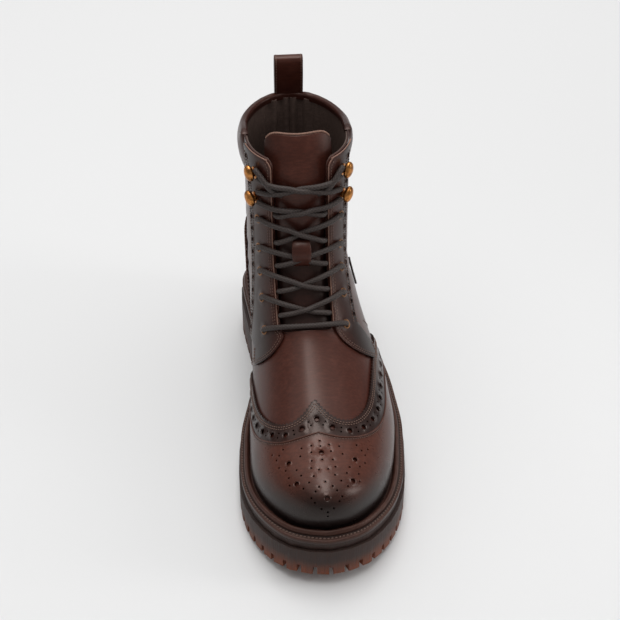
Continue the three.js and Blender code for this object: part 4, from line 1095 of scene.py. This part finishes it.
# %% Stitches of the wing and its raised seam
piping = []
for side in (-1, 1):
    for distance in (1.5, 3.1):
        rows.append(stitch_row(inside_of(wing_edges[side], side, distance), 2.1, 1.5, 0.85, 0.15))
    piping.append(on_side(SEAM[side], side))
    rows.append(stitch_row(inside_of(piping[-1], side, 1.3), 1.9, 1.3, 0.6, 0.1))
seam_line = np.vstack([piping[0][::-1][:-1], piping[1]])
seam_points = skin(seam_line[:, 0], np.clip(seam_line[:, 1], -1, 1), 0.1)
add_piece("wing_seam", tube_mesh("raised seam", seam_points, 0.65), SEAM_LEATHER)

# %% [markdown]
# ## Collar, tongue, pull loop and tab
# The collar is foam under a soft leather, so it is a swollen band whose section is a closed curve: it
# starts at its seam on the shaft, bulges outwards, rolls over the top edge and ends inside on the lining.
# The tongue is a broad strip that rests on the instep and leans back where it comes free.

# %% Padded collar
COLLAR_EDGE = [(0.262, 1.09), (0.276, 0.95), (0.2, 0.815), (0.09, 0.795), (-0.06, 0.79)]
OUTER_SHARE, ROLL_END = 0.6, 0.88  # of the section: the outer face, then the roll over the top


def collar_place(side, across, along):
    """Across runs from the front end to the back seam, along from the outer seam over the top."""
    edge = side_curve(side, COLLAR_EDGE, 120)
    edge = edge[edge[:, 0] < top_station(edge[:, 1])]
    run = np.linspace(0, 1, len(edge))
    low, low_angle = np.interp(across, run, edge[:, 0]), np.interp(across, run, np.abs(edge[:, 1]))
    high_angle = abs(edge[0, 1]) + (1 - abs(edge[0, 1])) * across
    part = np.clip(along / OUTER_SHARE, 0, 1)
    angle = low_angle + (high_angle - low_angle) * part
    top = top_station(side * high_angle)
    station = low + (top - low) * part
    swell = 2.6 * np.sin(math.pi * part) ** 0.8 * np.clip(across / 0.25, 0, 1) ** 0.7
    turn = ramp(along, OUTER_SHARE, 0.28) * math.pi
    rolled = along > OUTER_SHARE
    lift = np.where(rolled, -2.0 + 2.6 * np.cos(turn), 0.5 * part + swell - 1.7 * (1 - part) ** 3)
    station = np.where(along > ROLL_END, top - 0.1 * ramp(along, ROLL_END, 0.12), station)
    points = skin(np.minimum(station, TOP_STATION + 0.2), side * angle, lift)
    points[:, 2] += np.where(rolled, 2.2 * np.sin(turn) * np.clip(across / 0.06, 0, 1) ** 0.5, 0)
    points[:, 2] += 0.25 * gathers(18.0, angle) * (rolled & (along < 0.95))
    return points


# The collar is lightest on its outer bulge and darker towards its seam and over the roll inside: painted
# shade.
collar_mesh = join_halves("collar", 110, 44, collar_place,
                          burnish_and_shade=lambda side, a, b: 0.3 + 0.35 * np.abs(b - 0.3))
collar_mesh = finish_mesh(collar_mesh, thickness=0.9, sharp=70)
collar_piece = add_piece("collar_pad", collar_mesh, POLISHED, ["collar"])
for side in (-1, 1):
    edge = side_curve(side, COLLAR_EDGE)
    edge = edge[(np.abs(edge[:, 1]) < 0.965) & (edge[:, 0] < top_station(edge[:, 1]) - 0.9)]
    rows.append(stitch_row(beside(edge, -1.6 * side), lift=WALL + 0.15))

# %% Tongue
TONGUE_HALF, TONGUE_NARROWING, TONGUE_FOOT, TONGUE_TOP = 29.0, 2.5, 9.2, 20.15


def tongue_lift(station):
    return LINING_LIFT - 0.3 - 1.3 * ease(ramp(station, 9.6, 1.1))


def tongue_lean(station):
    """How far the free end of the tongue leans back."""
    return 13 * np.maximum(0, (station - 17) / 3.3) ** 1.7


def tongue_top(out):
    return TONGUE_TOP - 0.5 * np.abs(out) ** 6


def tongue_point(station, width, lift=0.0):
    """A point on the tongue at a signed distance from its middle."""
    station, width = arrays(station, width)
    angle = around_at(station, np.where(width < 0, -1, 1), np.abs(width))
    points = skin(station, angle, tongue_lift(station) + lift)
    return points - tongue_lean(station)[:, None] * skin_normal(station, 0 * station)


def tongue_place(across, along):
    out = 2 * across - 1
    station = TONGUE_FOOT + (tongue_top(out) - TONGUE_FOOT) * along
    soft = 0.35 * np.sin(station * 2.6 + out * 2) * ramp(station, 10, 2) * np.exp(-(out / 0.7) ** 2)
    return tongue_point(station, out * (TONGUE_HALF - TONGUE_NARROWING * ramp(station, 17, 3)), soft)


# The tongue darkens towards its foot under the laces and towards its sides under the facings: painted shade.
tongue_mesh = grid_mesh("tongue", 48, 150, tongue_place, burnish_and_shade=lambda a, b: (
    0.12 + 0.55 * np.clip((0.55 - b) / 0.3, 0, 1) + 0.45 * np.abs(2 * a - 1) ** 3))
tongue_mesh = finish_mesh(tongue_mesh, thickness=3.0, bevel=0.5)
add_piece("tongue_leather", tongue_mesh, POLISHED, ["tongue"])
out = np.linspace(-0.97, 0.97, 60)
rim = tongue_point(tongue_top(out) + 0.03, out * (TONGUE_HALF - TONGUE_NARROWING), -0.8)
add_piece("tongue_edge", tube_mesh("tongue edge", rim, 0.75), EDGE)

# %% The vamp's edge at the foot of the throat
foot_out = np.linspace(-19.2, 19.2, 60)
foot_station = THROAT_FOOT + THROAT_CORNER * (1 - (1 - (np.abs(foot_out) / THROAT_HALF) ** 4) ** 0.25)
foot_angle = around_at(foot_station, np.sign(foot_out), np.abs(foot_out))
foot_edge = tube_mesh("throat edge", skin(foot_station, foot_angle, -2.4), 0.7)
add_piece("throat_edge", foot_edge, POLISHED)

# %% Lace keeper, a strip sewn to the tongue at both ends
KEEPER_MIDDLE, KEEPER_REACH, KEEPER_HALF = 12.865, 0.74, 6.4


def keeper_place(across, along):
    arch = np.clip(np.sin(math.pi * along), 0, 1) ** 0.55
    station = KEEPER_MIDDLE + (2 * along - 1) * KEEPER_REACH
    points = tongue_point(station, (2 * across - 1) * KEEPER_HALF, 0.9 + 6.2 * arch)
    points[:, 1] -= 0.25 * np.sin(across * 9) * arch
    return points


keeper_mesh = grid_mesh("lace keeper", 14, 30, keeper_place, burnish_and_shade=lambda a, b: 0.25)
keeper_mesh = finish_mesh(keeper_mesh, thickness=1.4, bevel=0.35)
add_piece("keeper_strap", keeper_mesh, POLISHED, ["lace_keeper"])

# %% Pull loop: a folded strap sewn through the back of the collar
LOOP_WIDTH = 20.6
LOOP_LINE = splines("back height", [
    (29.8, 190), (30.6, 202), (30.4, 214), (29.6, 226), (27, 232.6), (23.8, 233.4), (21.6, 231), (21.2, 222),
    (22, 212), (23.6, 204), (24.6, 198)])
loop_x = BALL_WIDTH * float(profile["centre"](20))


def loop_place(across, along):
    """Up the outside, over a flat fold, and down inside."""
    return np.stack([loop_x + (across - 0.5) * LOOP_WIDTH, LOOP_LINE["back"](along * 10),
                     LOOP_LINE["height"](along * 10)], -1)


# The strap is lightest on its fold at the top and darker down its legs and at its sides: painted light and
# shade.
loop_mesh = grid_mesh("pull loop", 12, 70, loop_place, flip=True, burnish_and_shade=lambda a, b: (
    0.05 + 0.5 * np.abs(b - 0.5) + 0.2 * np.abs(2 * a - 1) ** 4))
loop_mesh = finish_mesh(loop_mesh, thickness=1.9, bevel=0.45, offset=0)
add_piece("loop_strap", loop_mesh, POLISHED, ["pull_loop"])
for edge_x in (-8.9, 8.9):
    path = loop_place(np.full(44, 0.5 + edge_x / LOOP_WIDTH), np.linspace(0.03, 0.97, 44))
    ahead = unit(np.gradient(path, axis=0))
    out_of = np.cross(ahead, (1.0, 0, 0))
    rows += [repeat_bead(path + out_of * face, ahead, out_of, (1.6, 0.55, 0.35)) for face in (0.98, -0.98)]

# %% Side tab
TAB_MIDDLE, TAB_WIDTH, TAB_LENGTH = (12.3, 0.47), 7, 20


def tab_place(across, along):
    middle = np.repeat([TAB_MIDDLE], len(across), axis=0)
    places = shift_on_skin(middle, (across - 0.5) * TAB_WIDTH, (along - 0.5) * TAB_LENGTH)
    return skin(*places.T, -0.3 + 2.0 * np.clip(across - 0.5, 0, 1) ** 1.5)


tab_mesh = grid_mesh("side tab", 8, 16, tab_place, burnish_and_shade=lambda a, b: 0.9)
tab_mesh = finish_mesh(tab_mesh, thickness=1.2, bevel=0.3)
add_piece("side_tab_leather", tab_mesh, BAND, ["side_tab"])

# %% [markdown]
# ## Eyelets, hooks and lace
# The eyelets are rolled brass rings and the speed hooks are domed knobs on a stem. Both are turned from a
# short profile and set square to the leather. The lace is one round cord: a straight bar at the foot, then
# six crossings, two of them caught by the hooks, and its ends are tucked into the throat.

# %% Turned metal parts


def turned(profile_points, sides=24):
    """Corners and faces of a part turned from radii and heights, about an upright axis."""
    radii, heights = np.array(profile_points, float).T
    turn = np.linspace(0, 2 * math.pi, sides, endpoint=False)
    corners = np.stack([np.outer(radii, np.cos(turn)), np.outer(radii, np.sin(turn)),
                        np.repeat(heights[:, None], sides, 1)], -1).reshape(-1, 3)
    faces = []
    for ring in range(len(radii) - 1):
        for k in range(sides):
            a, b = ring * sides + k, ring * sides + (k + 1) % sides
            faces.append([a, b, b + sides, a + sides])
    return corners, faces


def set_on_skin(name, part, station, around, lift, stands_for, metal, stretch=(1, 1, 1), lean=0.0):
    corners, faces = part
    spot = np.array([station]), np.array([around])
    normal, across = skin_normal(*spot), unit(skin_slopes(*spot)[1])
    upwards = np.cross(normal, across)
    axes = np.vstack([across, upwards, normal + lean * upwards])
    mesh = plain_mesh(name, skin(station, around, lift) + (corners * stretch) @ axes, faces)
    add_piece(name, finish_mesh(mesh, sharp=50), metal, [stands_for])


RING = turned([(2.2, -1.6), (2.2, 0.1), (2.35, 0.45), (2.7, 0.62), (3.1, 0.6), (3.4, 0.38), (3.5, 0.1),
               (3.5, -0.3)])
KNOB = turned([(3.4, 0), (3.4, 0.4), (2.0, 0.7), (1.8, 1.9), (2.6, 2.3), (3.9, 2.9), (4.5, 3.9), (4.5, 5.1),
               (3.8, 6.4), (2.6, 7.2), (1.2, 7.6), (0.01, 7.7)])
for side, word in SIDES:
    for number, station in enumerate(EYELET_STATIONS + HOOK_STATIONS, 1):
        tag = f"{word}_{number}"
        if station in HOOK_STATIONS:
            set_on_skin(f"knob_{tag}", KNOB, station, around_at(station, side, HOOK_HALF)[0], 0.15,
                        f"hook_{tag}", BRASS, stretch=(0.95, 1.3, 0.95), lean=0.2)
        else:
            set_on_skin(f"ring_{tag}", RING, station, around_at(station, side, EYELET_HALF)[0], 0.2,
                        f"eyelet_{tag}", DARK_BRASS)

# %% Lace strands
LACE_RADIUS, ON_FACING = 1.9, 2.2
BESIDE_EYELET, BESIDE_HOOK, UNDER_FACING = 25.5, 26.6, 18.6


def lace_lift(station, width):
    """Over the facing outside, and stretched down to the tongue between the facings."""
    share = np.cos(math.pi / 2 * np.clip(np.abs(width) / 22.0, 0, 1)) ** 2
    return ON_FACING * (1 - share) + (tongue_lift(station) + LACE_RADIUS + 0.7) * share


def on_boot(station, width, extra):
    angle = around_at(station, np.where(width < 0, -1, 1), np.abs(width))
    lean = tongue_lean(station) * np.clip(1 - np.abs(width) / 20, 0, 1)
    return skin(station, angle, lace_lift(station, width) + extra - lean)


def crossing(side, start, end, start_out, end_out, sag, over):
    """From an eyelet or hook across to the other side, sagging a little, over or under its partner."""
    share = np.linspace(0, 1, 70)
    width = side * (start_out - (start_out + end_out) * share)
    station = start + (end - start) * share - sag * (1 - (2 * share - 1) ** 2)
    tuck = 4.5 * ramp(share, 0.9, 0.1) ** 1.5 if end_out == UNDER_FACING else 0
    return on_boot(station, width, over * np.exp(-(width / 5.5) ** 2) - tuck)


def lace_piece(name, points, stands_for=()):
    mesh = tube_mesh(name, smooth_points(points), LACE_RADIUS, 14, closed_ends=True)
    add_piece(name, mesh, CORD, stands_for)


def into_hole(points, station, side):
    """Bends the end of a strand down into its eyelet."""
    around = around_at(station, side, EYELET_HALF)[0]
    return np.vstack([skin(station, around, -2.0), skin(station, around, 1.4), points])


width = np.linspace(-BESIDE_EYELET, BESIDE_EYELET, 70)
foot = EYELET_STATIONS[0]
bar = on_boot(foot - 0.1 * (1 - (width / BESIDE_EYELET) ** 2), width, 0.5 * np.exp(-(width / 12) ** 2))
lace_piece("lace_bar", into_hole(into_hole(bar, foot, -1)[::-1], foot, 1)[::-1], ["lace_bar_1"])
LACED = EYELET_STATIONS + HOOK_STATIONS
for row in range(2, 8):
    start, end = LACED[row - 1], max(LACED[row - 2] + 0.1, 10.45)
    hooked, caught = row > 5, row > 6
    for side, letter in ((-1, "a"), (1, "b")):
        upper = (side > 0) == (row % 2 == 0)
        over = (0.9 if row == 4 else 2.6) if upper else -0.7
        points = crossing(side, start - 0.22 * hooked, end + 0.35 * caught,
                          BESIDE_HOOK if hooked else BESIDE_EYELET,
                          BESIDE_HOOK if caught else UNDER_FACING, 0.12 + 0.05 * row, over)
        if not hooked:
            points = into_hole(points, start, side)
        lace_piece(f"lace_row_{row}{letter}", points, [f"lace_cross_{row}"] if side < 0 else ())

# %% The tucked ends leave the upper hooks, cross the facing's edge and go down beside the tongue
share = np.linspace(0, 1, 50)
for side, word in SIDES:
    sunk = 5.5 * ramp(share, 0.65, 0.35) ** 1.5
    ends = on_boot(HOOK_STATIONS[1] + 0.3 - 1.9 * share**1.3, side * np.linspace(27.5, 14.5, 50), 0.6 - sunk)
    lace_piece(f"lace_end_{word}", ends)

# %% [markdown]
# ## Welt and sole
# The welt is a strip sewn around the upper with a rounded bead on top, so a section is swept along the
# feather line. The midsole and outsole are moulded blocks: their solids are kept, their edges rounded, and
# each corner remembers how far below the feather line it lies, which fades the rubber from dark to gum.

# %% Rim of the sole
MARGIN = 8  # of the welt outside the feather line, where the share below is 1
margins = splines("along medial lateral", [
    (0, 0.8, 0.8), (0.15, 0.8, 0.8), (0.4, 0.9, 0.95), (0.65, 0.95, 1.02), (0.8, 0.95, 1.08),
    (0.93, 1.03, 1.05), (1, 1.22, 1.22),
], "along")


def smooth_ring(values, rounds):
    for _ in range(rounds):
        values = (np.roll(values, 1, 0) + 2 * values + np.roll(values, -1, 0)) / 4
    return values


def ring_ahead(points):
    return unit(np.roll(points, -1, 0) - np.roll(points, 1, 0))


def rim_line(count=520):
    """The feather line as a closed ring, its directions outwards, and the margin of the welt."""
    stations = np.unique(np.concatenate([
        np.linspace(0, 1, 60), np.linspace(1, HEEL_STATION, 300),
        np.linspace(HEEL_STATION - 0.15, HEEL_STATION, 40)]))
    lateral, medial = skin_point(stations, 1.0), skin_point(stations, -1.0)
    closed = np.vstack([lateral, medial[::-1][1:]])
    sides = np.where(np.arange(len(closed)) < len(lateral), 1.0, -1.0)
    sides[-1] = 1
    run = run_of(closed)
    wanted = np.linspace(0, run[-1], count, endpoint=False)
    points = smooth_ring(at_run(closed, run, wanted), 6)
    share = (HEEL_CENTRE - points[:, 1]) / LAST_LENGTH
    on_lateral = np.interp(wanted, run, sides) > 0
    margin = smooth_ring(np.where(on_lateral, margins["lateral"](share), margins["medial"](share)), 30)
    ahead = np.roll(points, -1, 0) - np.roll(points, 1, 0)
    outwards = unit(np.stack([ahead[:, 1], -ahead[:, 0], 0 * ahead[:, 0]], -1))
    outwards *= np.sign(((points - points.mean(0)) * outwards).sum(1).mean())
    return points, outwards, MARGIN * margin


rim_points, rim_out, rim_margin = rim_line()
WELT_SECTION = [(-4, -4.0), (-4, -0.4), (0.9, -0.4), (1.4, 0.3), (1.7, 1.5), (2.2, 2.4), (2.9, 2.9),
                (3.6, 2.95), (4.3, 2.6), (4.9, 1.8), (5.25, 0.7), (5.35, -0.3), (5.8, -0.35)]
WELT_EDGE = [(-0.75, -0.3), (-0.25, -0.4), (0, -0.8), (0, -3.4), (-0.3, -3.95), (-1.2, -4.0)]
WELT_CORNERS = len(WELT_SECTION) + len(WELT_EDGE)


def beside_rim(spot, distance, up):
    points = rim_points[spot] + rim_out[spot] * distance[:, None]
    points[:, 2] = feather_at(HEEL_CENTRE - rim_points[spot, 1]) + up
    return points


def welt_place(across, along):
    slot = np.round(along * (WELT_CORNERS - 1)).astype(int)
    spot = np.round(across * len(rim_points)).astype(int) % len(rim_points)
    out, up = np.array(WELT_SECTION + WELT_EDGE).T
    return beside_rim(spot, out[slot] + np.where(slot >= len(WELT_SECTION), rim_margin[spot], 0), up[slot])


# The welt is darker at the foot of its bead and along the lower part and underside of its edge: painted shade
# in the crease and under the edge.
welt_mesh = grid_mesh("welt", len(rim_points), WELT_CORNERS - 1, welt_place, burnish_and_shade=lambda a, b: (
    0.1 + 0.7 * (np.abs(b - 0.64) < 0.05) + 0.5 * (b > 0.85)))
add_piece("welt_strip", finish_mesh(welt_mesh, sharp=48), WELT, ["welt"])

# %% Stitches of the welt: short dark beads set across the strip
ring = beside_rim(np.arange(len(rim_points)), 5.5 + 0.45 * (rim_margin - 5.9), -0.28)
ring = np.vstack([ring, ring[:1]])
run = run_of(ring)
places = at_run(ring, run, np.linspace(0, run[-1], int(run[-1] / 2.6), endpoint=False))
up, ahead = np.array([0, 0, 1.0]), ring_ahead(places)
welt_stitches = repeat_bead(places, unit(ahead + 0.35 * np.cross(up, ahead)), up, (2.0, 1.2, 1.3))
add_piece("welt_stitches", join_rows("welt stitches", [welt_stitches]), WELT_THREAD)

# %% Midsole, outsole and insole from their solids


def rounded_copy(node, bevel):
    """A copy of a solid with its flat faces merged, its edges rounded and its depth written down."""
    bm = bmesh.new()
    bm.from_mesh(bpy.data.objects[node].data)
    bm.transform(bpy.data.objects[node].matrix_world)
    bmesh.ops.remove_doubles(bm, verts=bm.verts, dist=1e-6)
    bmesh.ops.dissolve_limit(bm, angle_limit=math.radians(2), verts=bm.verts, edges=bm.edges)
    bmesh.ops.triangulate(bm, faces=bm.faces)
    mesh = bpy.data.meshes.new(node + " copy")
    bm.to_mesh(mesh)
    bm.free()
    mesh = finish_mesh(mesh, bevel=bevel, sharp=40)
    places = get_places(mesh) / MM
    along = np.clip(HEEL_CENTRE - places[:, 1], 0, LAST_LENGTH)
    give_attribute(mesh, "depth", feather_at(along) - places[:, 2])
    give_attribute(mesh, "toe", ramp(along, 150, 130))
    print(f"{node}: {len(mesh.polygons)} faces")
    return mesh


add_piece("midsole_block", rounded_copy("midsole", 0.5), RUBBER, ["midsole"])
add_piece("outsole_block", rounded_copy("outsole", 0.45), RUBBER, ["outsole"])
add_piece("insole_board", rounded_copy("insole", 0.2), LINING, ["insole"])

# %% All the rows of stitches, gathered from the panels above
stitches = join_rows("stitches", rows)
add_piece("stitches", stitches, THREAD)
print(f"stitches: {len(stitches.polygons)} faces")

# %% [markdown]
# ## The picture
# The boot is seen from in front and from well above, through a long lens, on a pale floor. A wide soft
# light overhead gives the even ground, and a narrower one draws the pale streak along the vamp. A single
# lamp would be simpler, but it would leave hard shadows and small sharp glints.

# %% The camera and the floor
DOWN, TURN = math.radians(40.6), math.radians(-4.5)
SENSOR_WIDTH, FOCAL_PIXELS, PICTURE_WIDTH = 36, 1423.74, 620


def add_object(name, data):
    thing = bpy.data.objects.new(name, data)
    bpy.context.scene.collection.objects.link(thing)
    return thing


camera = add_object("camera", bpy.data.cameras.new("camera"))
camera.location, camera.rotation_euler = (-0.0575, -0.866, 0.759), (math.pi / 2 - DOWN, 0, TURN)
camera.data.sensor_width, camera.data.lens = SENSOR_WIDTH, FOCAL_PIXELS / PICTURE_WIDTH * SENSOR_WIDTH
bpy.context.scene.camera = camera
floor_mesh = bpy.data.meshes.new("floor")
bm = bmesh.new()
bmesh.ops.create_grid(bm, x_segments=1, y_segments=1, size=4)
bm.to_mesh(floor_mesh)
bm.free()
floor_mesh.materials.append(FLOOR)
add_object("floor", floor_mesh)

# %% Soft lights


def soft_light(name, place, target, size, power, spread=180):
    data = bpy.data.lights.new(name, "AREA")
    data.shape, data.size, data.size_y = "RECTANGLE", *size
    data.energy, data.spread = power, math.radians(spread)
    lamp = add_object(name, data)
    lamp.location = place
    lamp.rotation_euler = (Vector(target) - Vector(place)).to_track_quat("-Z", "Y").to_euler()


soft_light("overhead", (-0.2, 1.3, 2.6), (-0.1, 0.9, 0), (5.0, 5.0), 60)
soft_light("strip", (0, 0.15, 2.4), (0, 0.05, 0.1), (0.7, 2.0), 30)
soft_light("right box", (1.1, -0.35, 0.5), (0, -0.2, 0.06), (0.3, 0.8), 0.35, spread=50)
world = bpy.data.worlds.new("world")
bpy.context.scene.world = world
world.use_nodes = True
background = world.node_tree.nodes["Background"].inputs
background["Color"].default_value, background["Strength"].default_value = (1, 1, 1, 1), 0.35
bpy.context.scene.view_settings.view_transform = "Standard"
